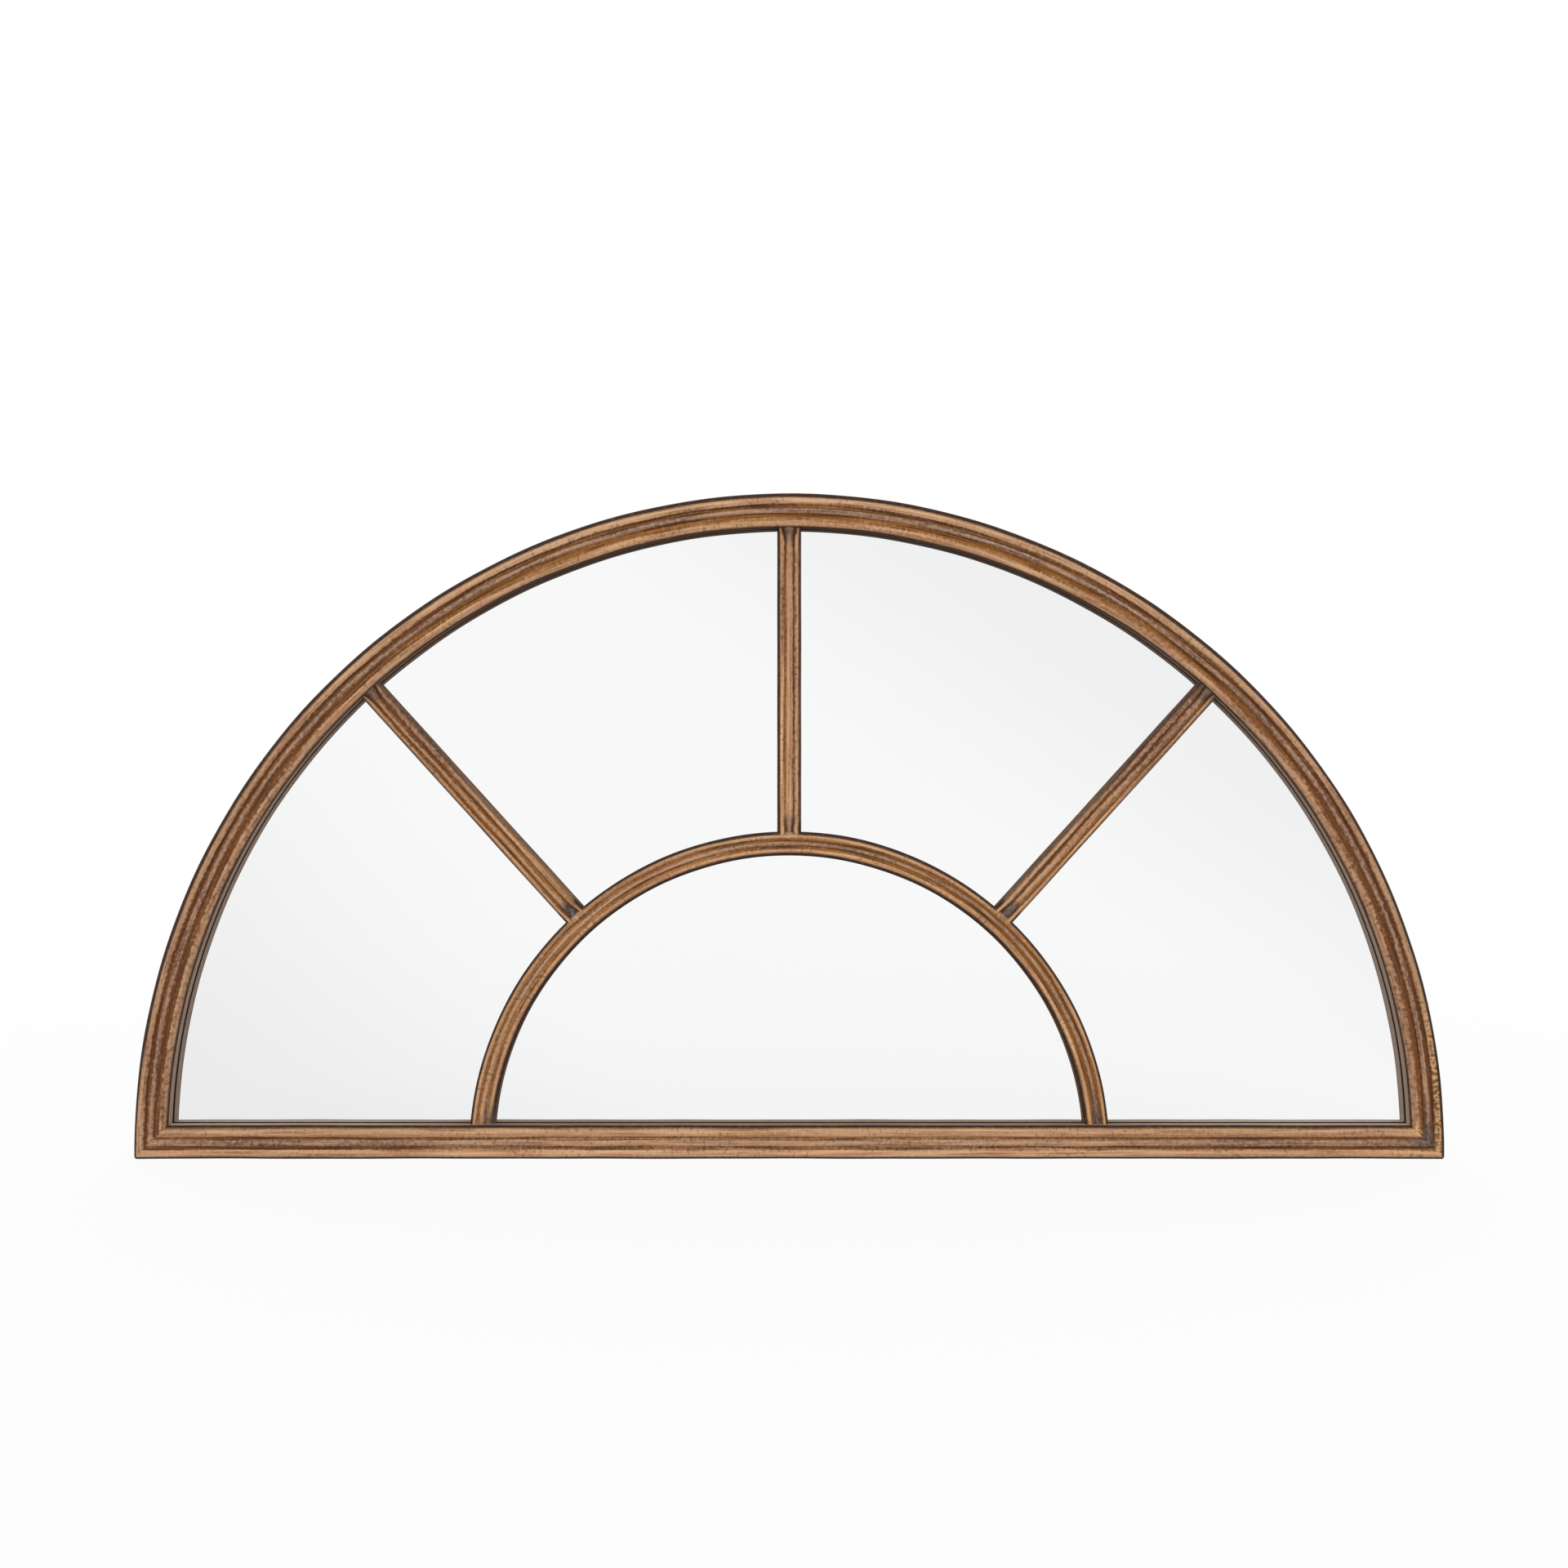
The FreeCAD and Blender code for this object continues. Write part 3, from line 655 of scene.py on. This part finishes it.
patches = {
    "rub": np.maximum(bar_fields["rub"], np.interp(turn, BENT_AT, BENT_FLOOR) * on_face),
    "bare": bar_fields["bare"] * (1 - 0.8 * weld * smooth(HALF_REED, HALF_BAR, across) * on_face),
    "reed": np.maximum(np.interp(turn, BENT_AT, BENT_REED) * bar_fields["reed"], gap * outer_bead),
    "stain": 0.12,
    "ochre": 0.85,
    "gild": 0.55 * weld * outer_bead * (1 - gap),
    "soot": 0.7 * left_soot + 0.85 * bell(to_right, SOOT_RUN) * in_reed,
}
inner = skin("inner_arch_bar", (x, y, z), {**bar_fields, **patches}, along + 8.0, section_walk, bronze)
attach(inner, "frame")
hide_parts("inner_arch")

SPOKES = (
    ("left", -SPOKE_ANGLE, 2.4 * MM, 0.5 * MM),
    ("centre", 0.0, 2.2 * MM, -1.4 * MM),
    ("right", SPOKE_ANGLE, 0.9 * MM, 0.3 * MM),
)
SPOKE_GROOVES = {"left": (-5.0, 1.8), "centre": (-3.3, 3.4), "right": (-2.2, 4.9)}
SPOKE_SLIM = {"left": 0.955, "centre": 1.0, "right": 0.955}
SPOKE_REED = {"left": 0.15, "centre": 0.0, "right": 0.15}
SPOKE_STAIN = {
    "left": ((0.10, 0.20), (0.45, 0.90)),
    "centre": ((0.0, 0.40), (0.50, 0.55)),
    "right": ((0.30, 0.15), (0.85, 0.20)),
}
# Gold on the reed's crest for each spoke: partly rubbed wear, partly a painted highlight.
SPOKE_CREST = {"left": 0.2, "centre": 0.9, "right": 0.5}
SPOKE_FLOOR = {"left": 0.0, "centre": 0.2, "right": 0.0}
SPOKE_EDGE = {"left": (0.7, 0.6), "centre": (1.0, 0.9), "right": (0.75, 0.6)}
SPOKE_OCHRE = {"left": (0.5, 0.9), "centre": (0.75, 0.2), "right": (0.4, 0.7)}
SPOKE_MAUVE = {"left": (0.1, 0.6), "centre": (0.0, 0.0), "right": (0.75, 0.45)}
FOOT_SOOT = {"left": 0.9, "centre": 0.25, "right": 0.8}
SPOKE_CROWD = 0.03
ARCH_END = (1.5, 0.7)
ARCH_REED = (2.2, 0.8)
FRAME_END = (1.5, 0.4)
UPPER_PART = (0.35, 0.75)
LINE_WIDTH = 1.7 * MM
GROOVES = (-HALF_REED, HALF_REED)
drop = HUB_Z - ARCH_Z
for number, (name, lean, flare_out, flare_in) in enumerate(SPOKES):
    start = np.sqrt((INNER_RADIUS + HALF_BAR - over_bar) ** 2 - across**2)
    sideways = across - drop * math.sin(lean)
    sight_radius = ARCH_RADIUS - np.interp(math.pi / 2 + lean, WORKED_AT, SIGHT_LIP)
    end = np.sqrt(sight_radius**2 - sideways**2) - drop * math.cos(lean)
    run = start + crowded(SPOKE_ROWS, (0.0, 1.0), SPOKE_CROWD)[:, None] * (end - start)
    from_arch = (run - start) / WELD_REACH
    from_frame = (end - run) / WELD_REACH
    at_arch = smooth(1, 0, from_arch)
    at_frame = smooth(1, 0, from_frame)
    near_arch = smooth(*ARCH_END, from_arch)
    near_frame = smooth(*FRAME_END, from_frame)
    uneven = on_face * smooth(0, SETTLE, np.minimum(run - start, end - run)) * HAND
    flare = flare_out * at_frame**2 + flare_in * at_arch
    at_end = np.maximum(at_frame, at_arch)
    low, high = (place * MM * (1 - at_end) for place in SPOKE_GROOVES[name])
    grooves = (low - HALF_REED * at_end - flare, high + HALF_REED * at_end + flare)
    wide = placed(*grooves) * SPOKE_SLIM[name] + BAR_HAND * uneven * waver(run + 31.0 + number, across)
    crown = WELD_LIFT * in_reed * (1 - (across / (HALF_REED + CROWN_EDGE)) ** 2)
    middle = smooth(HALF_BAR - FILLET_EDGE, HALF_REED, np.abs(across)) * on_face
    fillet = FILLET_LIFT * middle * np.clip(1 - (end - run) / FILLET_REACH, 0, 1) ** 2
    y = depth - fillet - crown * (at_frame + 0.5 * at_arch)
    y = y + BAR_HAND_DEPTH * uneven * (1 + waver(run + 41.0, across))
    x = wide * math.cos(lean) + run * math.sin(lean)
    z = HUB_Z - wide * math.sin(lean) + run * math.cos(lean)
    upper = smooth(*UPPER_PART, (run - start) / (end - start))
    reed = np.maximum(SPOKE_REED[name], np.maximum(near_frame, smooth(*ARCH_REED, from_arch)))
    # Near the ends the grooves get dark lines and, at the frame, the reed gets more soot: partly weld burn
    # and glaze, partly painted shade where the fillet faces down and the grooves meet the joints.
    lines = bell(np.abs(across) - HALF_REED, LINE_WIDTH) * on_face
    stain = [np.interp(across, GROOVES, pair) for pair in SPOKE_STAIN[name]]
    edge = np.maximum(np.interp(across, GROOVES, SPOKE_EDGE[name]), near_arch)
    mauve = np.interp(across, GROOVES, SPOKE_MAUVE[name]) * upper * on_face
    # More gold on the reed's crest: partly rubbed wear on the high line, partly a painted highlight.
    crest = np.maximum(SPOKE_CREST[name], near_frame) * in_reed**3
    least = SPOKE_FLOOR[name] * (1 - upper) * on_face
    patches = {
        "rub": np.maximum(np.maximum(bar_fields["rub"], least), crest),
        "bare": np.maximum(bar_fields["bare"] * edge, lines * np.maximum(0.9 * near_frame, 0.7 * near_arch)),
        "reed": np.maximum(bar_fields["reed"] * reed, mauve),
        "stain": stain[0] + (stain[1] - stain[0]) * upper,
        "ochre": np.interp(across, GROOVES, SPOKE_OCHRE[name]),
        "gild": 0.4 * at_arch * (1 - in_reed) * on_face * bar_fields["rub"],
        "soot": (FOOT_SOOT[name] * near_arch + 0.30 * near_frame) * in_reed,
    }
    fields = {**bar_fields, **patches}
    spoke = skin("spoke_bar_" + name, (x, y, z), fields, run + 11.0 + number, section_walk, bronze)
    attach(spoke, "frame")
    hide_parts("spoke_" + name)

# Glazing tape.
# A black foam strip stuck to the frame's seat, which the glass beds on. Its cut edge is part of the dark
# line where the sight wall meets the mirror; the rest of that line is painted shade on the sight wall.


def dress(node, finish):
    """Gives a carried-over node one finish in place of its plain one."""
    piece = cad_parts[node]
    piece.data.materials.clear()
    piece.data.materials.append(finish)


def object_place(pen):
    """Place on the piece, in metres of the shared frame."""
    return pen.node("ShaderNodeTexCoord", {}, {}, "Object")


def black_foam():
    """Closed-cell foam: near black with fine cells that show paler where they are cut."""
    made, pen = new_finish("black_foam")
    cell = object_place(pen).cloud((2600, 2600, 2600), 2.0)
    colour = cell.step(0.45, 0.7).blend(paint(30, 29, 27), paint(52, 50, 47))
    pen.finish({"Base Color": colour, "Roughness": 0.82 + cell * 0.1, "Normal": cell.relief(0.1 * MM)})
    return made


dress("glazing_tape", black_foam())

# Mirror glass.
# One half-moon sheet of 4 mm silvered float glass behind all the bars. The front mirrors, the edges
# are ground and greenish, and the back has grey protective paint.
GLASS_FRONT_Y = -15.0 * MM
GLASS_BACK_Y = -11.0 * MM
FACE_FADE = (0.3 * MM, 0.1 * MM)
# Bands where the painted reflection darkens the silver.
LOWER_LEFT = (0.38, 0.86)
UPPER_RIGHT = (-0.05, 0.38)


def silvered_glass():
    """Mirror on the front plane, grey paint on the rear plane, green ground glass between, told by the depth.
    The silver is a shade darker towards the lower left and the upper right, along two slanting directions:
    a painted reflection of uneven studio light."""
    made, pen = new_finish("silvered_glass")
    place = object_place(pen)
    front = place.part("Y").step(*(GLASS_FRONT_Y + fade for fade in FACE_FADE))
    rear = place.part("Y").step(*(GLASS_BACK_Y - fade for fade in FACE_FADE))
    lower_left = (place.part("X") * -1.0 - place.part("Z") * 0.8).step(*LOWER_LEFT)
    upper_right = (place.part("X") + place.part("Z") * 1.5).step(*UPPER_RIGHT)
    # Painted reflection: the silver a shade darker towards the lower left and the upper right, with a slow
    # cloud.
    shade = lower_left + upper_right * 0.72 + (place.cloud((3, 3, 3), 1.0) - 0.5) * 0.12
    silver_and_reflection = shade.blend((0.935, 0.938, 0.938, 1.0), (0.84, 0.843, 0.845, 1.0))
    grain = place.cloud((900, 900, 900), 2.0)
    ground = grain.step(0.3, 0.7).blend(paint(96, 128, 116), paint(128, 156, 144))
    backing = grain.step(0.3, 0.7).blend(paint(116, 118, 120), paint(128, 130, 132))
    colour = front.blend(rear.blend(ground, backing), silver_and_reflection)
    pen.finish({"Base Color": colour, "Metallic": front, "Roughness": 0.5 - front * 0.5})
    return made


dress("mirror_glass", silvered_glass())

# Card sheet.
# Corrugated card between the mirror's paint and the back board, cut to the same half-moon, which keeps
# the board from scratching the silvering.
FLUTE_PITCH = 3.2 * MM


def corrugated_card():
    """Kraft paper with faint upright flute lines and scattered fibres."""
    made, pen = new_finish("corrugated_card")
    place = object_place(pen)
    flute = pen.calc("SINE", place.part("X") * (2 * math.pi / FLUTE_PITCH), 0.0)
    fibre = place.cloud((300, 300, 1800), 2.0)
    colour = fibre.step(0.35, 0.65).blend(paint(166, 130, 90), paint(188, 152, 110))
    colour = (flute.step(0.2, 1.0) * 0.25).blend(colour, paint(146, 112, 76))
    height = flute * 0.5 + fibre * 0.3
    pen.finish({"Base Color": colour, "Roughness": 0.86 + fibre * 0.08, "Normal": height.relief(0.15 * MM)})
    return made


dress("card_sheet", corrugated_card())

# Back board.
# A half-moon of 3 mm hardboard that closes the back. Its smooth brown face shows pressed fibres, and the
# turn buttons have scuffed arcs along its edge.
PIVOT_INSET = 10.5 * MM
BUTTON_REACH = 16.0 * MM
BUTTON_HALF = 6.0 * MM
BOARD_BACK_Y = -6.0 * MM
SCUFF_INSIDE = (-3.0 * MM, 2.0 * MM)
SCUFF_OUTSIDE = (7.0 * MM, 5.0 * MM)
BUTTON_ANGLES = {"arch_1": 22.5, "arch_2": 67.5, "arch_3": 112.5, "arch_4": 157.5}
SILL_BUTTON_X = 240.0 * MM
pivots = {}
for place_name, degrees in BUTTON_ANGLES.items():
    around = math.radians(degrees)
    spot_x = -(ARCH_RADIUS - PIVOT_INSET) * math.cos(around)
    pivots[place_name] = (spot_x, ARCH_Z + (ARCH_RADIUS - PIVOT_INSET) * math.sin(around), around)
pivots["sill_left"] = (-SILL_BUTTON_X, SILL_Z + PIVOT_INSET, -math.pi / 2)
pivots["sill_right"] = (SILL_BUTTON_X, SILL_Z + PIVOT_INSET, -math.pi / 2)


def pivot_distance(pen, place):
    """Distance from the nearest of the six screws that the turn buttons swing on."""
    nearest = None
    for spot_x, spot_z, around in pivots.values():
        ends = {0: place, 1: (spot_x, BOARD_BACK_Y, spot_z)}
        away = pen.node("ShaderNodeVectorMath", {"operation": "DISTANCE"}, ends, "Value")
        nearest = away if nearest is None else pen.calc("MINIMUM", nearest, away)
    return nearest


def hardboard():
    """Pressed wood fibre: short flecks of two sizes over a slow mottle, and paler scuffed rings at the radius
    that each button's tip sweeps."""
    made, pen = new_finish("hardboard")
    place = object_place(pen)
    slow = place.cloud((5, 5, 5), 3.0)
    fleck = place.cloud((620, 620, 330), 3.0)
    fibre = place.cloud((260, 260, 1500), 2.0)
    colour = slow.step(0.30, 0.70).blend(paint(114, 76, 48), paint(126, 87, 56))
    colour = (fleck.step(0.52, 0.68) * 0.5).blend(colour, paint(158, 116, 78))
    colour = (fleck.step(0.46, 0.32) * 0.5).blend(colour, paint(80, 52, 34))
    colour = (fibre.step(0.56, 0.72) * 0.4).blend(colour, paint(150, 108, 72))
    beyond = pivot_distance(pen, place) - BUTTON_REACH
    scuff = beyond.step(*SCUFF_INSIDE) * beyond.step(*SCUFF_OUTSIDE) * fleck.step(0.40, 0.62)
    colour = (scuff * 0.55).blend(colour, paint(172, 132, 94))
    height = fleck * 0.6 + fibre * 0.4 - scuff * 0.4
    pen.finish({
        "Base Color": colour,
        "Roughness": 0.52 + fleck * 0.2 + scuff * 0.1,
        "Normal": height.relief(0.12 * MM),
    })
    return made


dress("back_board", hardboard())

# Setting blocks.
# Two rubber blocks in the sill channel that carry the weight of the glass, cut from extruded strip.


def block_rubber():
    """Black rubber with faint drawn lines along its length and a dusting of pale bloom."""
    made, pen = new_finish("block_rubber")
    place = object_place(pen)
    drawn = place.cloud((60, 1900, 1900), 2.0)
    bloom = place.cloud((160, 160, 160), 3.0)
    colour = drawn.step(0.38, 0.64).blend(paint(34, 33, 32), paint(50, 49, 47))
    colour = (bloom.step(0.52, 0.74) * 0.35).blend(colour, paint(92, 90, 86))
    pen.finish({"Base Color": colour, "Roughness": 0.7 + bloom * 0.2, "Normal": drawn.relief(0.06 * MM)})
    return made


rubber = block_rubber()
dress("setting_block_left", rubber)
dress("setting_block_right", rubber)

# Button lugs.
# Six small steel angles inside the channel, each with a tapped hole for a turn button's screw, welded to
# the outer wall and painted with the frame.
KEYHOLE_X = 414.718 * MM
KEYHOLE_RISE = 8.0 * MM
RUBBED = (7.5 * MM, 5.0 * MM)
RAGGED = 9.0 * MM
WELD_LEG = 1.1 * MM
WELD_RUN = 17.0 * MM
PUDDLE_PITCH = 1.5 * MM
WELD_ROWS = 90
WELD_BOW = 9
WELD_TIP = 0.003
WELD_TAPER = 0.25
WELD_BULGE = 0.8
PUDDLE_DEPTH = 0.14
ROOT_BOW = 0.10
ROOT_DEPTH = 0.12


def painted_steel():
    """Dark brown brushed paint with a fine orange peel, dusty in patches, rubbed to metal at the keyholes."""
    made, pen = new_finish("painted_steel")
    place = object_place(pen)
    slow = place.cloud((60, 60, 60), 3.0)
    peel = place.cloud((900, 900, 900), 2.0)
    colour = slow.step(0.36, 0.64).blend(paint(66, 49, 38), paint(86, 65, 50))
    colour = (peel.step(0.56, 0.74) * 0.4).blend(colour, paint(112, 88, 68))
    beside = pen.calc("ABSOLUTE", place.part("X"), 0.0) - KEYHOLE_X
    above = place.part("Z") - place.part("Z").step(0.0, KEYHOLE_RISE) * KEYHOLE_RISE
    away = pen.calc("POWER", beside * beside + above * above, 0.5)
    worn = (away + (slow - 0.5) * RAGGED).step(*RUBBED)
    colour = (worn * 0.85).blend(colour, paint(150, 146, 140))
    pen.finish({
        "Base Color": colour,
        "Metallic": worn * 0.7,
        "Roughness": 0.5 + slow * 0.2 - worn * 0.12,
        "Normal": (peel * 0.5 + slow * 0.5).relief(0.12 * MM),
    })
    return made


brown_paint = painted_steel()
dress("button_lugs", brown_paint)


def weld_fillet():
    """Rippled fillet for the corner of a lug and the wall: a bowed loop whose leg swells with each puddle and
    dies away at both ends, as the run along the wall, the reach off the wall and the rise off the lug."""
    run = np.linspace(-WELD_RUN / 2, WELD_RUN / 2, WELD_ROWS)[:, None]
    ends = np.clip(1 - (2 * run / WELD_RUN) ** 2, WELD_TIP, 1) ** WELD_TAPER
    leg = WELD_LEG * ends * (1 - PUDDLE_DEPTH + PUDDLE_DEPTH * np.abs(np.cos(math.pi * run / PUDDLE_PITCH)))
    bow = np.linspace(0, math.pi / 2, WELD_BOW)
    root = bow[::-1]
    off = np.concatenate((np.cos(bow) ** WELD_BULGE, ROOT_BOW * np.cos(root) - ROOT_DEPTH))[None, :]
    rise = np.concatenate((np.sin(bow) ** WELD_BULGE, ROOT_BOW * np.sin(root) - ROOT_DEPTH))[None, :]
    return run, leg * off, leg * rise


run, off, rise = weld_fillet()
for place_name, (spot_x, spot_z, around) in pivots.items():
    if place_name.startswith("arch"):
        angle = around + run / ARCH_RADIUS
        away = ARCH_RADIUS - GAUGE - off
        weld_x = -away * np.cos(angle)
        weld_z = ARCH_Z + away * np.sin(angle)
    else:
        weld_x = spot_x + run
        weld_z = SILL_Z + GAUGE + off
    axes = (weld_x, BOARD_BACK_Y + rise, weld_z)
    weld_piece = skin("lug_weld_" + place_name, axes, {}, run, rise, brown_paint)
    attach(weld_piece, "frame")

# Turn buttons, washers and screws.
# Six stamped steel strips with round ends and softened edges, zinc plated, that swing over the board's
# edge. Each turns on a cross-recess screw with a spring washer under its head.
HOLE_RADIUS = 2.05 * MM
BUTTON_FRONT_Y = -5.7 * MM
BUTTON_BACK_Y = -4.2 * MM
BUTTON_EDGE = 0.4 * MM
RING_PITCH = 0.55 * MM
RING_BAND = (7.0 * MM, 4.6 * MM)
OUTLINE_POINTS = 128
EDGE_POINTS = 6


def zinc_plate():
    """Bright zinc: faint spangle, cool and yellowish patches, and rings worn round each screw."""
    made, pen = new_finish("zinc_plate")
    place = object_place(pen)
    slow = place.cloud((110, 110, 110), 2.0)
    spangle = place.cloud((700, 700, 700), 3.0)
    colour = slow.step(0.36, 0.64).blend(paint(186, 190, 192), paint(202, 198, 184))
    colour = (spangle.step(0.5, 0.7) * 0.5).blend(colour, paint(158, 162, 166))
    away = pivot_distance(pen, place)
    rings = pen.calc("SINE", away * (2 * math.pi / RING_PITCH), 0.0)
    worn = away.step(*RING_BAND) * spangle.step(0.36, 0.6)
    colour = (worn * rings.step(-0.2, 0.9) * 0.45).blend(colour, paint(118, 118, 116))
    pen.finish({
        "Base Color": colour,
        "Metallic": 0.9,
        "Roughness": 0.34 + spangle * 0.22 + worn * 0.08,
        "Normal": (spangle * 0.5 + rings * worn * 0.3).relief(0.05 * MM),
    })
    return made


zinc = zinc_plate()
dress("button_washers", zinc)
dress("button_screws", zinc)


def turn_button():
    """Strip with round ends and a hole about the origin. Each loop is a flat ring section from the hole to
    the outline, with a quarter round at its four corners, and the loops follow the outline: straight, half
    circle, straight, half circle."""
    arc = math.pi * BUTTON_HALF
    walked = np.linspace(0, 2 * (BUTTON_REACH + arc), OUTLINE_POINTS, endpoint=False)
    back_half = walked >= BUTTON_REACH + arc
    local = np.where(back_half, walked - BUTTON_REACH - arc, walked)
    bend = np.clip((local - BUTTON_REACH) / BUTTON_HALF, 0, math.pi)
    reach = np.minimum(local, BUTTON_REACH) + BUTTON_HALF * np.sin(bend)
    beside = -BUTTON_HALF * np.cos(bend)
    out_x = np.where(back_half, BUTTON_REACH - reach, reach)[:, None]
    out_z = np.where(back_half, -beside, beside)[:, None]
    length = np.hypot(out_x, out_z)
    curl = np.linspace(0, math.pi / 2, EDGE_POINTS)
    rise = BUTTON_EDGE * (1 - np.cos(curl))
    fall = BUTTON_EDGE * (1 - np.sin(curl))
    by_hole = np.repeat((True, False, False, True), EDGE_POINTS)
    offset = np.concatenate((rise, -fall, -rise, fall))
    radius = np.where(by_hole, HOLE_RADIUS, length) + offset
    front = BUTTON_FRONT_Y + np.concatenate((fall, rise))
    rear = BUTTON_BACK_Y - np.concatenate((fall, rise))
    return out_x / length * radius, np.concatenate((front, rear))[None, :], out_z / length * radius


strip_x, strip_y, strip_z = turn_button()
for place_name, (spot_x, spot_z, around) in pivots.items():
    turned_x = spot_x + strip_x * math.cos(around) + strip_z * math.sin(around)
    turned_z = spot_z - strip_x * math.sin(around) + strip_z * math.cos(around)
    axes = (turned_x, strip_y, turned_z)
    strip = skin("button_strip_" + place_name, axes, {}, strip_x, strip_z, zinc, ring=True)
    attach(strip, "button_" + place_name)
    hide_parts("turn_button_" + place_name)

# Keyhole plates and corner gussets.
# Steel plates flush with the rear rim: two on the shoulders with keyholes for wall screws, and one inside
# each mitred corner. They are welded to the channel and painted with it.
for node in ("hanger_plate_left", "hanger_plate_right", "corner_gusset_left", "corner_gusset_right"):
    dress(node, brown_paint)

# Studio.
# A plain pale floor under the sill, a sky that is brighter above than below, broad soft lamps at the left
# and right of the front and one behind, and the camera straight in front, a little above the middle.
FLOOR_HALF = 30.0
floor_mesh = bpy.data.meshes.new("floor")
floor_corners = ((-1, -1), (1, -1), (1, 1), (-1, 1))
floor_points = [(x * FLOOR_HALF, y * FLOOR_HALF, SILL_Z) for x, y in floor_corners]
floor_mesh.from_pydata(floor_points, [], [(0, 1, 2, 3)])
floor = bpy.data.objects.new("floor", floor_mesh)
bpy.context.scene.collection.objects.link(floor)


def seen_directly(pen):
    """1 for what the camera sees by itself, in a mirror or through glass, and 0 for light on its way to a
    matt surface."""
    path = pen.node("ShaderNodeLightPath").socket.node.outputs
    names = ("Is Camera Ray", "Is Glossy Ray", "Is Transmission Ray", "Diffuse Depth")
    camera, glossy, through, matt = (Shade(pen.tree, path[name]) for name in names)
    return pen.calc("MINIMUM", camera + glossy + through, 1.0) * (1.0 - matt.step(0.0, 1.0))


def neutral(level):
    """Neutral colour of a level from 0 to 1."""
    return (level, level, level, 1.0)


FADE = (0.8, 3.0)
made, pen = new_finish("pale_floor")
place = object_place(pen)
speck = place.cloud((40, 40, 40), 2.0)
matt = pen.node("ShaderNodeBsdfDiffuse", {}, {"Color": speck.blend(neutral(0.60), neutral(0.62))})
pale = pen.node("ShaderNodeBsdfDiffuse", {}, {"Color": speck.blend(neutral(0.93), neutral(0.95))})
glow = pen.node("ShaderNodeEmission", {}, {"Color": neutral(1.0), "Strength": 1.0})
far = pen.node("ShaderNodeVectorMath", {"operation": "LENGTH"}, {0: place}, "Value").step(*FADE)
white = pen.node("ShaderNodeMixShader", {}, {0: 0.90 + far * 0.10, 1: pale, 2: glow})
shown = pen.node("ShaderNodeMixShader", {}, {0: seen_directly(pen), 1: matt, 2: white})
pen.node("ShaderNodeOutputMaterial", {}, {"Surface": shown})
floor_mesh.materials.append(made)

world = bpy.data.worlds.new("studio")
bpy.context.scene.world = world
world.use_nodes = True
world.node_tree.nodes.clear()
pen = Shade(world.node_tree)
upward = pen.node("ShaderNodeTexCoord", {}, {}, "Generated").part("Z")
sky = upward.step(-0.3, 0.8).blend(neutral(0.28), neutral(0.50))
light = pen.node("ShaderNodeBackground", {}, {"Color": sky, "Strength": 1.0})
plain = pen.node("ShaderNodeBackground", {}, {"Color": neutral(1.0), "Strength": 1.0})
both = pen.node("ShaderNodeMixShader", {}, {0: seen_directly(pen), 1: light, 2: plain})
pen.node("ShaderNodeOutputWorld", {}, {"Surface": both})


def soft_lamp(name, level, spread, tilt, turn):
    """Broad distant lamp: level is the brightness that it gives a matt white surface facing it."""
    lamp = bpy.data.lights.new(name, "SUN")
    lamp.energy = level * math.pi
    lamp.angle = math.radians(spread)
    holder = bpy.data.objects.new(name, lamp)
    holder.rotation_euler = (math.radians(tilt), 0.0, math.radians(turn))
    holder.visible_glossy = False
    bpy.context.scene.collection.objects.link(holder)


soft_lamp("left_softbox", 0.45, 50.0, 78.0, -48.0)
soft_lamp("right_softbox", 0.45, 50.0, 78.0, 48.0)
soft_lamp("rear_softbox", 0.50, 60.0, 55.0, 180.0)

CAMERA_DISTANCE = 1.85
CAMERA_X = -4.8 * MM
CAMERA_Z = -81.3 * MM
LENS = 46.47
SENSOR = 36.0
camera_data = bpy.data.cameras.new("camera")
camera_data.lens = LENS
camera_data.sensor_width = SENSOR
camera = bpy.data.objects.new("camera", camera_data)
camera.location = (CAMERA_X, GROOVE_Y - BEAD_HEIGHT - CAMERA_DISTANCE, CAMERA_Z)
camera.rotation_euler = (math.pi / 2, 0.0, 0.0)
bpy.context.scene.collection.objects.link(camera)
bpy.context.scene.camera = camera
bpy.context.scene.view_settings.view_transform = "Standard"
